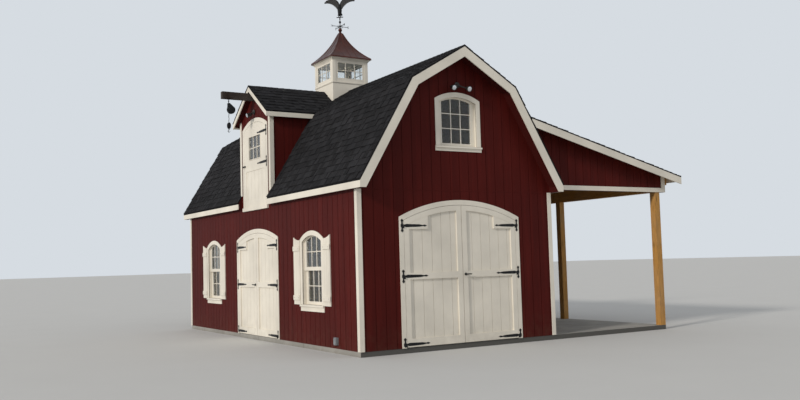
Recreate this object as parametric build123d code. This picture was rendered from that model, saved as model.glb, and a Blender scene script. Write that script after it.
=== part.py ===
"""A gambrel barn shed with a lean-to porch, a loft dormer and a cupola, one STEP file for each sub-part.

Frame: +Z up, +Y from the front gable to the rear, origin at the centre of the main building on the
ground. Heights in this file are measured from the top of the slab; write() lifts them to the ground.
"""

import os
from math import cos, radians, sin, sqrt

from build123d import *

# Main building
house_width = 4267
house_length = 9144
slab_height = 90
wall_thickness = 105
soffit_height = 2754
fascia_depth = 115
eave_lip = 39
eave_overhang = 100
rake_overhang = 305
knee_half_width = 1151
knee_height = 4710
ridge_height = 5389
rafter_depth = 90
shingle_thickness = 20
trim_thickness = 19
trim_width = 89
rake_board_depth = 158
fit_gap = 0.3
saw_gap = 0.5
cut_margin = 10

# Loft floor
loft_floor_height = 2690
loft_deck_thickness = 18
loft_deck_end_gap = 1
joist_depth = 140
joist_width = 38
joist_spacing = 610

# Front double door, over its casing
front_door_width = 2650
front_door_header = 171
front_door_rise = 306
front_rail_height = 1238

# Side double door, over its casing
side_door_width = 2345
side_door_side = 2071
side_door_apex = 2282
side_rail_height = 1090

# Door leaves
leaf_thickness = 55
leaf_panel_recess = 35
stile_width = 104
arch_rail_width = 97
arch_joint_width = 6
arch_joint_depth = 4
mid_rail_width = 117
bottom_rail_width = 142
leaf_gap = 6
meeting_gap = 10
leaf_bottom_gap = 12
hinge_block_length = 500
hinge_block_drop = 60

# Strap hinges
strap_length = 480
strap_width = 36
strap_thickness = 4
strap_heel = 16
strap_shoulder = 50
strap_shoulder_width = 56
strap_waist = 320
strap_waist_width = 42
strap_neck = 395
strap_neck_width = 18
strap_spear = 435
strap_spear_width = 36
knuckle_radius = 7
knuckle_stand_off = 8
knuckle_length = 40
lower_knuckle_length = 24
knuckle_gap = 1
pin_radius = 3
pin_clearance = 0.6
hinge_plate_height = 240
hinge_plate_width = 56
hinge_plate_waist = 28
top_hinge_drop = 95
bottom_hinge_height = 62

# Lever handles
handle_length = 150
handle_stand_off = 38
handle_radius = 9
rose_radius = 24
rose_thickness = 6

# Windows
window_frame_width = 92
window_head_width = 24
window_frame_depth = 45
window_recess = 50
window_bottom_rail = 55
glass_thickness = 5
meeting_rail_depth = 70
sash_recess = 36
sash_depth = 32
sill_projection = 45
sill_nose = 32
sill_fall = 8
sill_drip = 4

# Side windows with shutters
side_window_spacing = 5500
side_window_width = 1010
side_window_spring = 1967
side_window_apex = 2124
side_window_bottom = 740
side_meeting_rail_height = 1410
side_sill_depth = 125
shutter_width = 280
shutter_thickness = 22
shutter_bottom = 732
shutter_gap = 3
shutter_shoulder_drop = 8
shutter_sweep_reach = 154
shutter_sweep_rise = 14
shutter_point_rise = 61

# Gable windows, measured up from the soffit
gable_window_width = 1002
gable_window_bottom_rise = 820
gable_window_spring_rise = 1679
gable_window_apex_rise = 1813
gable_sill_depth = 98
gable_sill_overhang = 12

# Lean-to porch on the right wall, its eave and beam measured up from the soffit
porch_width = 3092
porch_slope = 0.25
porch_eave_rise = 368
porch_eave_overhang = 358
porch_rafter_depth = 120
porch_rafter_width = 38
porch_rafter_spacing = 1016
porch_deck_thickness = 12
porch_post_size = 140
porch_bays = 3
porch_beam_rise = 66
porch_header_depth = 91
porch_rake_depth = 140
porch_fascia_depth = 91
porch_end_thickness = 90
porch_end_reach = 165
porch_end_trim_width = 110

# Dormer over the side door
dormer_width = 1688
dormer_eave_overhang = 136
dormer_eave_drop = 10
dormer_rake_overhang = 142
dormer_frame_depth = 60
dormer_fascia_depth = 95
dormer_rake_depth = 85

# Loft door in the dormer, measured down from the ridge
loft_door_width = 1421
loft_door_side_drop = 889
loft_door_apex_drop = 703
loft_sill_depth = 76
loft_rail_drop = 1776
loft_glass_half_width = 325
loft_glass_drop = 1584
loft_glass_height = 490
loft_leaf_thickness = 44
loft_panel_recess = 19
loft_top_hinge_drop = 1044
loft_low_hinge_drop = 1704
loft_latch_width = 60
loft_latch_height = 26
loft_latch_depth = 18

# Hoist at the dormer
hoist_reach = 746
hoist_beam_width = 100
hoist_beam_depth = 150
hoist_beam_ridge_drop = 325
hoist_beam_inside = 500
tackle_setback = 157
eye_ring_radius = 24
tackle_bar = 7
shackle_length = 46
block_drop = 225
block_offset = 52
block_radius = 90
block_cheek = 6
block_head = 22
block_shoulder = 30
sheave_radius = 80
sheave_thickness = 34
lower_block_drop = 574
lower_block_half_width = 40
lower_block_half_height = 72
lower_block_thickness = 44
hook_drop = 690
hook_radius = 26
hook_thickness = 14

# Cupola, measured up from the ridge
cupola_width = 890
cupola_belt_rise = 155
cupola_belt_depth = 25
cupola_belt_projection = 14
cupola_lantern_height = 521
cupola_wall = 22
cupola_post = 105
cupola_rail = 60
cornice_depth = 16
eave_board_depth = 14
eave_board_setback = 8
cupola_eave_half_width = 512
cupola_eave_edge = 24
cupola_roof_rise = 680
cupola_waist_half_width = 262
cupola_waist_rise = 278
cupola_neck_half_width = 46

# Weathervane, measured up from the cupola roof's top
vane_rod_radius = 8
vane_collar_height = 40
vane_collar_half_width = 34
vane_collar_taper = 28
vane_ball_radius = 42
vane_ball_facing = 45
vane_ball_rise = 84
vane_arms_rise = 170
vane_arm_length = 215
vane_arm_width = 9
vane_knob_radius = 26
vane_knob_half_height = 30
vane_knob_rise = 274
vane_perch_rise = 390
vane_sleeve_radius = 13
vane_sleeve_length = 50

# Eagle, measured up from its perch
eagle_turn = -42
eagle_half_span = 357
eagle_height = 443
eagle_perch_length = 140
eagle_perch_radius = 9
eagle_leg_width = 17
eagle_leg_spread = 24
eagle_leg_length = 75
eagle_body_low = 55
eagle_body_high = 250
eagle_rump_radius = 14
eagle_body_radius = 42
eagle_breast_radius = 38
eagle_breast_rise = 195
eagle_neck_radius = 20
eagle_head_radius = 25
eagle_crown_radius = 12
eagle_head_height = 42
eagle_beak_length = 26
eagle_beak_drop = 12
eagle_tail_length = 120
eagle_tail_width = 110
eagle_plate = 8
eagle_feathers = 7
eagle_feather_depth = 13
eagle_shoulder_rise = 275
eagle_armpit_rise = 150
eagle_wing_root = 25
eagle_wing_bend_reach = 181
eagle_wing_bend_rise = 318
eagle_crest_reach = 245
eagle_tip_drop = 91

# Lights and outlet box
lamp_radius = 50
lamp_back_radius = 27
lamp_length = 105
lamp_spacing = 340
lamp_clearance = 18
lamp_reach = 130
lamp_tilt = 20
lamp_arm_width = 18
lamp_base_radius = 52
lamp_base_depth = 24
lamp_base_rise = 70
outlet_box_width = 100
outlet_box_depth = 50
outlet_box_height = 130
outlet_box_bottom = 65
outlet_box_setback = 798

half_width = house_width / 2
half_length = house_length / 2
inner_x = half_width - wall_thickness
inner_y = half_length - wall_thickness
eave_x = half_width + eave_overhang
eave_height = soffit_height + fascia_depth
roof_thickness = rafter_depth + shingle_thickness
lower_slope = (knee_height - eave_height - eave_lip) / (eave_x - knee_half_width)
upper_slope = (ridge_height - knee_height) / knee_half_width
lower_factor = sqrt(1 + lower_slope**2)
upper_factor = sqrt(1 + upper_slope**2)
rake_y = half_length + rake_overhang
inner_rake = rake_y - trim_thickness
loft_deck_top = loft_floor_height + loft_deck_thickness
front_door_apex = soffit_height - front_door_header
porch_edge = half_width + porch_width
porch_eave_height = soffit_height + porch_eave_rise
porch_beam_bottom = soffit_height + porch_beam_rise
porch_eave_x = porch_edge + porch_eave_overhang
porch_factor = sqrt(1 + porch_slope**2)
dormer_half = dormer_width / 2
dormer_eave_half = dormer_half + dormer_eave_overhang
dormer_slope = (ridge_height - knee_height + dormer_eave_drop) / dormer_eave_half
dormer_factor = sqrt(1 + dormer_slope**2)

FRONT = Pos(0, -half_length, 0)
REAR = Pos(0, half_length, 0) * Rot(0, 0, 180)
LEFT = Pos(-half_width, 0, 0) * Rot(0, 0, -90)


def write(name, *pieces):
    """Write one sub-part, lifted so that the ground is at zero."""
    solids = [Pos(0, 0, slab_height) * solid for piece in pieces for solid in piece.solids()]
    whole = solids[0] if len(solids) == 1 else Compound(children=solids)
    os.makedirs("parts", exist_ok=True)
    export_step(whole, os.path.join("parts", name + ".step"))


def block(x0, x1, y0, y1, z0, z1):
    """A box between two corners."""
    return Pos((x0 + x1) / 2, (y0 + y1) / 2, (z0 + z1) / 2) * Box(x1 - x0, y1 - y0, z1 - z0)


def outline(points):
    """A flat shape from its corners."""
    return make_face(Polyline(*points, close=True))


def along_y(points, y0, y1):
    """A prism along Y from an outline of (x, z) points."""
    return Pos(0, y1, 0) * extrude(Plane.XZ * outline(points), amount=y1 - y0)


def along_x(points, x0, x1):
    """A prism along X from an outline of (y, z) points."""
    return Pos(x0, 0, 0) * extrude(Plane.YZ * outline(points), amount=x1 - x0)


def plate(face, front, back):
    """A plate between two depths of a wall; negative depths stand out from its face."""
    return Pos(0, back, 0) * extrude(Plane.XZ * face, amount=back - front)


def rect(x0, x1, z0, z1):
    """A flat rectangle between two corners."""
    return Pos((x0 + x1) / 2, (z0 + z1) / 2) * Rectangle(x1 - x0, z1 - z0)


def eight_sided(radius, length):
    """An eight-sided bar along Z, centred."""
    return Pos(0, 0, -length / 2) * extrude(RegularPolygon(radius, 8), length)


def arch_radius(half, side, apex):
    """The radius of an arch that springs at one height and peaks at another."""
    rise = apex - side
    return (half**2 + rise**2) / (2 * rise)


def arch_face(half, bottom, radius, centre):
    """A flat opening shape with upright sides and a segmental head."""
    side = centre + sqrt(radius**2 - half**2)
    head = ThreePointArc((half, side), (0, centre + radius), (-half, side))
    sides = Polyline((-half, side), (-half, bottom), (half, bottom), (half, side))
    return make_face([*sides.edges(), head])


def mirrored(solid):
    """The same piece on the other side of the ridge line."""
    return mirror(solid, Plane.YZ)


def both_sides(pieces):
    """Pieces with their copies on the other side of the ridge line."""
    return pieces + [mirrored(piece) for piece in pieces]


def both_ends(pieces):
    """Pieces with their copies at the other gable."""
    return pieces + [mirror(piece, Plane.XZ) for piece in pieces]


# Roof surfaces
def lower_line(x, depth=0):
    """Height of the steep slope at a distance from the centre, a given depth below its surface."""
    return eave_height + eave_lip + (eave_x - x) * lower_slope - depth * lower_factor


def upper_line(x, depth=0):
    """Height of the shallow slope, as lower_line."""
    return ridge_height - x * upper_slope - depth * upper_factor


def knee(depth, gap=0):
    """The bend between the two slopes, a given depth down, or a gap up the shallow one from it."""
    x = (lower_line(0, depth) - upper_line(0, depth)) / (lower_slope - upper_slope) - gap
    return x, upper_line(x, depth)


def gambrel(depth, bottom):
    """The whole roof section, a given depth below its surface, as (x, z) points."""
    foot = eave_x, lower_line(eave_x, depth)
    right = [(eave_x, bottom), foot, knee(depth), (0, upper_line(0, depth))]
    left = [(-x, z) for x, z in reversed(right[:-1])]
    return right + left


def lower_band(top, bottom, y0, y1):
    """A board or covering on the right steep slope, between two depths."""
    foot = [(eave_x, lower_line(eave_x, bottom)), (eave_x, lower_line(eave_x, top))]
    return along_y([*foot, knee(top), knee(bottom)], y0, y1)


def upper_band(top, bottom, y0, y1):
    """A board, covering or panel on the right shallow slope, between two depths."""
    middle = saw_gap / 2
    peak = [(middle, upper_line(middle, top)), (middle, upper_line(middle, bottom))]
    return along_y([knee(top, saw_gap), *peak, knee(bottom, saw_gap)], y0, y1)


# Ground works
porch_inner_edge = half_width + saw_gap
main_slab = block(-half_width, half_width, -half_length, half_length, -slab_height, 0)
porch_slab = block(porch_inner_edge, porch_edge, -half_length, half_length, -slab_height, 0)
write("slabs", main_slab, porch_slab)


# Doors
def strap(x, z):
    """A strap hinge's moving half: a leaf that swells, narrows to a spear point, and its knuckle."""
    upper = [
        (x, strap_width / 2),
        (x + strap_heel, strap_width / 2),
        (x + strap_shoulder, strap_shoulder_width / 2),
        (x + strap_waist, strap_waist_width / 2),
        (x + strap_neck, strap_neck_width / 2),
        (x + strap_spear, strap_spear_width / 2),
    ]
    lower = [(px, -pz) for px, pz in reversed(upper)]
    leaf = plate(
        outline([*upper, (x + strap_length, 0), *lower]),
        -trim_thickness - strap_thickness,
        -trim_thickness,
    )
    knuckle = eight_sided(knuckle_radius, knuckle_length)
    return Pos(0, 0, z) * (leaf + Pos(x, -trim_thickness - knuckle_stand_off, 0) * knuckle)


def bored_strap(x, z):
    """A strap hinge's moving half with the hole for its pin."""
    hole = Cylinder(pin_radius + pin_clearance, knuckle_length + cut_margin)
    return strap(x, z) - Pos(x, -trim_thickness - knuckle_stand_off, z) * hole


def hinge_pad(x, z, low_end):
    """A strap hinge's fixed plate, waisted above and below the knuckle and pointed at its ends."""
    inner = x - knuckle_radius - knuckle_gap
    outer = inner - hinge_plate_width
    middle = (outer + inner) / 2
    waist = hinge_plate_waist / 2
    pad = hinge_plate_width / 2
    half = strap_width / 2
    high = hinge_plate_height / 2
    low = max(-high, low_end - z)
    right = [
        (inner, -half),
        (inner, half),
        (middle + waist, half + pad / 2),
        (middle + waist, high - 2 * pad),
        (inner, high - pad),
    ]
    below = [(inner, low + pad), (middle + waist, low + 2 * pad), (middle + waist, -half - pad / 2)]
    if low + 2 * pad > -half - pad / 2:
        below = [(inner, low + pad)]
    right = below + right
    left = [(2 * middle - px, pz) for px, pz in reversed(right)]
    shape = outline([(middle, low), *right, (middle, high), *left])
    return Pos(0, 0, z) * plate(shape, -trim_thickness - strap_thickness, -trim_thickness)


def hinge_plate(x, z, low_end):
    """A strap hinge's fixed half: its plate, the lower knuckle and the pin."""
    knuckle_top = -knuckle_length / 2 - knuckle_gap
    knuckle_bottom = knuckle_top - lower_knuckle_length
    front = -trim_thickness - strap_thickness
    ear = plate(rect(x - hinge_plate_width / 2, x, knuckle_bottom, knuckle_top), front, -trim_thickness)
    line = Pos(x, -trim_thickness - knuckle_stand_off, 0)
    knuckle = eight_sided(knuckle_radius, lower_knuckle_length)
    ear += line * Pos(0, 0, (knuckle_top + knuckle_bottom) / 2) * knuckle
    pin_top = knuckle_length / 2
    pin = eight_sided(pin_radius, pin_top - knuckle_top)
    ear += line * Pos(0, 0, (pin_top + knuckle_top) / 2) * pin
    return hinge_pad(x, z, low_end) + Pos(0, 0, z) * ear


class Door:
    """Sizes of a pair of arched leaves, all from the casing's width and its heights."""

    def __init__(self, width, side, apex, rail_height):
        self.outer = width / 2
        self.radius = arch_radius(self.outer, side, apex)
        self.centre = apex - self.radius
        self.clear = self.outer - trim_width
        self.clear_radius = self.radius - trim_width
        self.leaf = self.clear - leaf_gap
        self.leaf_radius = self.clear_radius - leaf_gap
        self.rail = rail_height
        self.hinge_x = -self.leaf - leaf_gap / 2
        self.top_hinge = self.side(self.leaf_radius, self.leaf) - top_hinge_drop

    def side(self, radius, x):
        """The height of an arch of this door's centre at a distance from its middle."""
        return self.centre + sqrt(radius**2 - x**2)

    def casing(self, bottom):
        """Two side boards and the arched head, cut apart where the arch springs."""
        ring = arch_face(self.outer, bottom, self.radius, self.centre)
        ring -= arch_face(self.clear, bottom - cut_margin, self.clear_radius, self.centre)
        spring = self.side(self.clear_radius, self.clear)
        ring -= rect(-self.outer, self.outer, spring, spring + saw_gap)
        return plate(ring, -trim_thickness, 0)

    def opening(self, bottom):
        """The space cut through the wall."""
        face = arch_face(self.clear, bottom, self.clear_radius, self.centre)
        return plate(face, -cut_margin, wall_thickness + cut_margin)

    def left_leaf(self):
        """The left leaf: frame and recessed panels in one, with the block that takes the top hinge."""
        panel_top = arch_face(self.leaf, -cut_margin, self.leaf_radius - arch_rail_width, self.centre)
        outer = -self.leaf + stile_width
        inner = -meeting_gap / 2 - stile_width
        low = self.rail - mid_rail_width / 2
        high = self.rail + mid_rail_width / 2
        hinge_block = rect(
            outer,
            -self.leaf + hinge_block_length,
            self.top_hinge - hinge_block_drop,
            self.centre + self.radius,
        )
        upper = (rect(outer, inner, high, self.centre + self.radius) & panel_top) - hinge_block
        lower = rect(outer, inner, bottom_rail_width + leaf_bottom_gap, low)
        whole = arch_face(self.leaf, leaf_bottom_gap, self.leaf_radius, self.centre)
        whole -= rect(-meeting_gap / 2, self.leaf, 0, self.centre + self.radius)
        leaf = plate(whole, -trim_thickness, leaf_thickness - trim_thickness)
        for panel in (upper, lower):
            leaf -= plate(panel, -trim_thickness - cut_margin, leaf_panel_recess - trim_thickness)
        joint = arch_face(self.leaf, -cut_margin, self.leaf_radius - arch_rail_width, self.centre)
        joint -= arch_face(
            self.leaf,
            -cut_margin,
            self.leaf_radius - arch_rail_width - arch_joint_width,
            self.centre,
        )
        joint &= hinge_block
        return leaf - plate(joint, -trim_thickness - cut_margin, arch_joint_depth - trim_thickness)

    def hinge_heights(self):
        """Top, middle and bottom hinge."""
        return self.top_hinge, self.rail, bottom_hinge_height

    def handle(self, side):
        """A lever handle on one leaf's meeting stile."""
        centre = Pos(side * (meeting_gap + stile_width) / 2, -trim_thickness, self.rail)
        across = Rot(90, 0, 0)
        rose = centre * Pos(0, -rose_thickness / 2, 0) * across * Cylinder(rose_radius, rose_thickness)
        neck = centre * Pos(0, -handle_stand_off / 2, 0) * across
        lever = centre * Pos(side * handle_length / 4, -handle_stand_off, 0) * Rot(0, 90, 0)
        rose += neck * eight_sided(handle_radius, handle_stand_off)
        return rose + lever * eight_sided(handle_radius, handle_length)


front_door = Door(
    front_door_width,
    front_door_apex - front_door_rise,
    front_door_apex,
    front_rail_height,
)
side_door = Door(side_door_width, side_door_side, side_door_apex, side_rail_height)

hinge_plates = []
for side_name, place, door, handle_side in (
    ("front", FRONT, front_door, 1),
    ("side", LEFT, side_door, -1),
):
    leaf = door.left_leaf()
    straps = [bored_strap(door.hinge_x, z) for z in door.hinge_heights()]
    plates = [hinge_plate(door.hinge_x, z, leaf_bottom_gap) for z in door.hinge_heights()]
    handle = [door.handle(handle_side)]
    left_hardware = straps + (handle if handle_side < 0 else [])
    right_hardware = [mirrored(piece) for piece in straps] + (handle if handle_side > 0 else [])
    write(side_name + "_door_left_leaf", place * leaf)
    write(side_name + "_door_right_leaf", place * mirrored(leaf))
    write(side_name + "_door_left_hardware", *[place * piece for piece in left_hardware])
    write(side_name + "_door_right_hardware", *[place * piece for piece in right_hardware])
    hinge_plates += [place * piece for piece in both_sides(plates)]
write("door_hinge_plates", *hinge_plates)
write("door_casings", FRONT * front_door.casing(0), LEFT * side_door.casing(0))


# Windows
class Window:
    """Sizes of an arched window, all from its casing."""

    def __init__(self, width, spring, apex, bottom, meeting_rail=None):
        self.outer = width / 2
        self.radius = arch_radius(self.outer, spring, apex)
        self.centre = apex - self.radius
        self.bottom = bottom
        self.meeting_rail = meeting_rail

    def shape(self, inset, bottom_inset, head_inset):
        """The window's outline, inset from the casing's outer edge."""
        return arch_face(
            self.outer - inset,
            self.bottom + bottom_inset,
            self.radius - head_inset,
            self.centre,
        )

    def opening(self):
        """The space cut through the wall."""
        face = self.shape(trim_width, 0, trim_width)
        return plate(face, -cut_margin, wall_thickness + cut_margin)

    def casing(self):
        """Side boards and arched head as one board."""
        ring = self.shape(0, 0, 0) - self.shape(trim_width, -cut_margin, trim_width)
        return plate(ring, -trim_thickness, 0)

    def panes(self, gap):
        """The glazed area, a gap inside the frame's bars."""
        area = self.shape(
            trim_width + window_frame_width + gap,
            window_bottom_rail + gap,
            trim_width + window_head_width + gap,
        )
        if self.meeting_rail is not None:
            area -= self.rail_band(meeting_rail_depth / 2 + gap)
        return area

    def rail_band(self, reach):
        """A level band across the window, as far above its meeting rail's middle as below it."""
        return rect(-self.outer, self.outer, self.meeting_rail - reach, self.meeting_rail + reach)

    def sashes(self):
        """The front depth, depth and area of each sash; a lower sash slides behind the upper one."""
        if self.meeting_rail is None:
            whole = rect(-self.outer, self.outer, self.bottom, self.centre + self.radius)
            return [(window_recess, window_frame_depth, whole)]
        rail = meeting_rail_depth / 2
        top = self.centre + self.radius
        upper = rect(-self.outer, self.outer, self.meeting_rail - rail, top)
        lower = rect(-self.outer, self.outer, self.bottom, self.meeting_rail + rail)
        return [(sash_recess, sash_depth, upper), (sash_recess + sash_depth + fit_gap, sash_depth, lower)]

    def frames(self):
        """The frame of each sash."""
        ring = self.shape(trim_width, 0, trim_width) - self.panes(0)
        return [plate(ring & area, front, front + depth) for front, depth, area in self.sashes()]

    def glass(self):
        """Panes that stand in the sashes."""
        panes = []
        for front, depth, area in self.sashes():
            middle = front + depth / 2
            panes.append(plate(self.panes(fit_gap) & area, middle, middle + glass_thickness))
        return panes

    def sill(self, depth, overhang):
        """The sloping sill and the apron under it."""
        top = self.bottom - saw_gap
        nose_bottom = top - sill_fall - sill_nose
        points = [
            (0, top),
            (-sill_projection, top - sill_fall),
            (-sill_projection, nose_bottom),
            (-trim_thickness, nose_bottom - sill_drip),
            (-trim_thickness, top - depth),
            (0, top - depth),
        ]
        return along_x(points, -self.outer - overhang, self.outer + overhang)


side_window = Window(
    side_window_width,
    side_window_spring,
    side_window_apex,
    side_window_bottom,
    side_meeting_rail_height,
)
gable_window = Window(
    gable_window_width,
    soffit_height + gable_window_spring_rise,
    soffit_height + gable_window_apex_rise,
    soffit_height + gable_window_bottom_rise,
)
side_places = [LEFT * Pos(side * side_window_spacing / 2, 0, 0) for side in (-1, 1)]
gable_places = [FRONT, REAR]
windows = [(place, side_window) for place in side_places] + [(place, gable_window) for place in gable_places]


def shutter():
    """The right shutter, whose head sweeps up from the window's spring to a point."""
    inner = side_window.outer + shutter_gap
    outer = inner + shutter_width
    shoulder = side_window_spring - shutter_shoulder_drop
    point = shoulder + shutter_point_rise
    sweep = inner + shutter_sweep_reach, shoulder + shutter_sweep_rise
    head = ThreePointArc((inner, shoulder), sweep, (outer, point))
    rest = Polyline((outer, point), (outer, shutter_bottom), (inner, shutter_bottom), (inner, shoulder))
    return plate(make_face([head, *rest.edges()]), -shutter_thickness, 0)


write("shutters", *[place * piece for place in side_places for piece in both_sides([shutter()])])
write(
    "window_casings",
    *[place * window.casing() for place, window in windows],
    *[place * side_window.sill(side_sill_depth, 0) for place in side_places],
    *[place * gable_window.sill(gable_sill_depth, gable_sill_overhang) for place in gable_places],
)
write("window_frames", *[place * frame for place, window in windows for frame in window.frames()])
panes = [place * pane for place, window in windows for pane in window.glass()]

# Gable end walls
front_wall = block(-half_width, half_width, -half_length, -inner_y, 0, soffit_height)
clear = front_door.clear
over = block(-clear, clear, -half_length, -inner_y, 0, soffit_height)
over -= FRONT * front_door.opening(-cut_margin)
write("front_wall_left", block(-half_width, -clear, -half_length, -inner_y, 0, soffit_height))
write("front_wall_right", block(clear, half_width, -half_length, -inner_y, 0, soffit_height))
write("front_wall_over_door", over)
write("rear_wall", mirror(front_wall, Plane.XZ))

wall_edge = half_width, lower_line(half_width, roof_thickness)
gable_right = [(half_width, soffit_height), wall_edge, knee(roof_thickness)]
gable_left = [(-x, z) for x, z in reversed(gable_right)]
gable_face = outline([*gable_right, (0, upper_line(0, roof_thickness)), *gable_left])
gable = plate(gable_face, 0, wall_thickness) - gable_window.opening()
write("front_gable", FRONT * gable)
write("rear_gable", REAR * gable)

# Long walls, between the gable end walls and bevelled under the roof panels
side_section = [
    (half_width, 0),
    wall_edge,
    (inner_x, lower_line(inner_x, roof_thickness)),
    (inner_x, 0),
]
right_wall = along_y(side_section, -inner_y, inner_y)
left_wall = mirrored(right_wall)
write("right_wall", right_wall)

door_edge = side_door.clear
wall_slice = -half_width - cut_margin, -inner_x + cut_margin
middle = block(*wall_slice, -door_edge, door_edge, -cut_margin, ridge_height)
front_part = block(*wall_slice, -half_length, -door_edge, -cut_margin, ridge_height)
loft_gap = block(*wall_slice, -dormer_half, dormer_half, loft_floor_height, ridge_height)
beside_door = left_wall - middle - [place * side_window.opening() for place in side_places]
write("left_wall_front", beside_door & front_part)
write("left_wall_rear", beside_door - front_part)
write("left_wall_over_door", (left_wall & middle) - LEFT * side_door.opening(-cut_margin) - loft_gap)

# Loft floor
deck_half = inner_x - fit_gap
joist_count = int((2 * inner_y - joist_width) // joist_spacing) + 1
joist_start = -(joist_count - 1) * joist_spacing / 2 - joist_width / 2
joists = []
for n in range(joist_count):
    y = joist_start + n * joist_spacing
    joists.append(
        block(-deck_half, deck_half, y, y + joist_width, loft_floor_height - joist_depth, loft_floor_height)
    )
deck_end = inner_y - loft_deck_end_gap
write("loft_joists", *joists)
write("loft_deck", block(-deck_half, deck_half, -deck_end, deck_end, loft_floor_height, loft_deck_top))

# Main roof
fascia_x = eave_x - trim_thickness
lower_section = [
    (fascia_x, lower_line(fascia_x, shingle_thickness)),
    knee(shingle_thickness),
    knee(roof_thickness),
    wall_edge,
    (half_width, soffit_height),
    (fascia_x, soffit_height),
]
lower_panel = along_y(lower_section, -inner_rake, inner_rake)
upper_panel = upper_band(shingle_thickness, roof_thickness, -inner_rake, inner_rake)
dormer_slot = block(-eave_x - cut_margin, 0, -dormer_half, dormer_half, 0, ridge_height)
write("roof_lower_panels", lower_panel, mirrored(lower_panel) - dormer_slot)
write("roof_upper_panels", *both_sides([upper_panel]))

lower_shingles = lower_band(0, shingle_thickness, -rake_y, rake_y)
upper_shingles = upper_band(0, shingle_thickness, -rake_y, rake_y)
left_shingles = mirrored(lower_shingles) - dormer_slot
write("main_shingles", lower_shingles, left_shingles, *both_sides([upper_shingles]))

fascia = block(fascia_x, eave_x, -inner_rake, inner_rake, soffit_height, eave_height)
fascia &= along_y(gambrel(shingle_thickness, soffit_height), -rake_y, rake_y)
write("fascia_boards", fascia, mirrored(fascia) - dormer_slot)

board_low = shingle_thickness + rake_board_depth
above_soffit = block(0, eave_x, -rake_y, -inner_rake, soffit_height, ridge_height)
lower_board = lower_band(shingle_thickness, board_low, -rake_y, -inner_rake) & above_soffit
upper_board = upper_band(shingle_thickness, board_low, -rake_y, -inner_rake)
write("rake_boards", *both_ends(both_sides([lower_board, upper_board])))

# Corner boards: one on the gable wall and one on the long wall at each corner
board_top = soffit_height - fit_gap
long_board = block(
    half_width,
    half_width + trim_thickness,
    half_length + trim_thickness - trim_width,
    half_length,
    0,
    board_top,
)
short_board = block(
    half_width + trim_thickness - trim_width,
    half_width + trim_thickness,
    half_length + saw_gap,
    half_length + trim_thickness,
    0,
    board_top,
)
write("corner_boards", *both_ends(both_sides([long_board, short_board])))


# Lean-to porch
def porch_line(x, depth=0):
    """Height of the porch roof, a given depth below its surface."""
    top = porch_eave_height + shingle_thickness
    return top + (porch_eave_x - x) * porch_slope - depth * porch_factor


def porch_band(x1, top, bottom, y0, y1):
    """A prism that follows the porch slope between two depths, from the main roof out to x1."""
    x0 = knee_half_width
    points = [(x0, porch_line(x0, top)), (x1, porch_line(x1, top))]
    points += [(x1, porch_line(x1, bottom)), (x0, porch_line(x0, bottom))]
    return along_y(points, y0, y1) - main_body


main_body = along_y(gambrel(-fit_gap, soffit_height), -rake_y - cut_margin, rake_y + cut_margin)
porch_fascia_x = porch_eave_x - trim_thickness
deck_bottom = shingle_thickness + porch_deck_thickness
rafter_bottom = deck_bottom + porch_rafter_depth
write("porch_shingles", porch_band(porch_eave_x, 0, shingle_thickness, -rake_y, rake_y))
write(
    "porch_roof_deck",
    porch_band(porch_fascia_x, shingle_thickness, deck_bottom, -inner_rake, inner_rake),
)

beam_inner = porch_edge - porch_post_size
post_step = (house_length - porch_post_size) / porch_bays
posts = []
for n in range(porch_bays + 1):
    y = -half_length + n * post_step
    posts.append(block(beam_inner, porch_edge, y, y + porch_post_size, 0, porch_beam_bottom))
write("porch_posts", *posts)

beam_section = [
    (beam_inner, porch_beam_bottom),
    (porch_edge, porch_beam_bottom),
    (porch_edge, porch_line(porch_edge, rafter_bottom)),
    (beam_inner, porch_line(beam_inner, rafter_bottom)),
]
beam_end = half_length - porch_end_thickness - fit_gap
write("porch_beam", along_y(beam_section, -beam_end, beam_end))

rafter_reach = beam_end - porch_rafter_width / 2
rafter_count = round(2 * rafter_reach / porch_rafter_spacing) + 1
rafter_step = 2 * rafter_reach / (rafter_count - 1)
rafters = []
for n in range(rafter_count):
    y = -rafter_reach - porch_rafter_width / 2 + n * rafter_step
    rafters.append(porch_band(porch_fascia_x, deck_bottom, rafter_bottom, y, y + porch_rafter_width))
write("porch_rafters", *rafters)

# Porch gable ends: a sided panel with a level header and an upright board at its outer edge
end_x = porch_edge + porch_end_reach
end_section = [
    (knee_half_width, porch_beam_bottom),
    (end_x, porch_beam_bottom),
    (end_x, porch_line(end_x, deck_bottom)),
    (knee_half_width, porch_line(knee_half_width, deck_bottom)),
]
end_front = -half_length
end_wall = along_y(end_section, end_front, end_front + porch_end_thickness) - main_body
write("porch_end_walls", *both_ends([end_wall]))

porch_fascia = block(
    porch_fascia_x,
    porch_eave_x,
    -inner_rake + saw_gap,
    inner_rake - saw_gap,
    porch_eave_height - porch_fascia_depth,
    porch_line(porch_eave_x, shingle_thickness),
)
porch_rake = porch_band(
    porch_eave_x,
    shingle_thickness,
    shingle_thickness + porch_rake_depth,
    -rake_y,
    -inner_rake,
)
board_y = end_front - trim_thickness, end_front - fit_gap
header_top = porch_beam_bottom + porch_header_depth
header_board = block(eave_x + saw_gap, end_x, *board_y, porch_beam_bottom, header_top)
upright_x = end_x - porch_end_trim_width
upright_section = [
    (upright_x, header_top + saw_gap),
    (end_x, header_top + saw_gap),
    (end_x, porch_line(end_x, deck_bottom)),
    (upright_x, porch_line(upright_x, deck_bottom)),
]
upright_board = along_y(upright_section, *board_y)
write("porch_trim", porch_fascia, *both_ends([porch_rake, header_board, upright_board]))


# Dormer, drawn in the left wall's frame: x along the wall, y inward
def dormer_line(x, depth=0):
    """Height of the dormer roof, a given depth below its surface."""
    return ridge_height - x * dormer_slope - depth * dormer_factor


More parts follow.
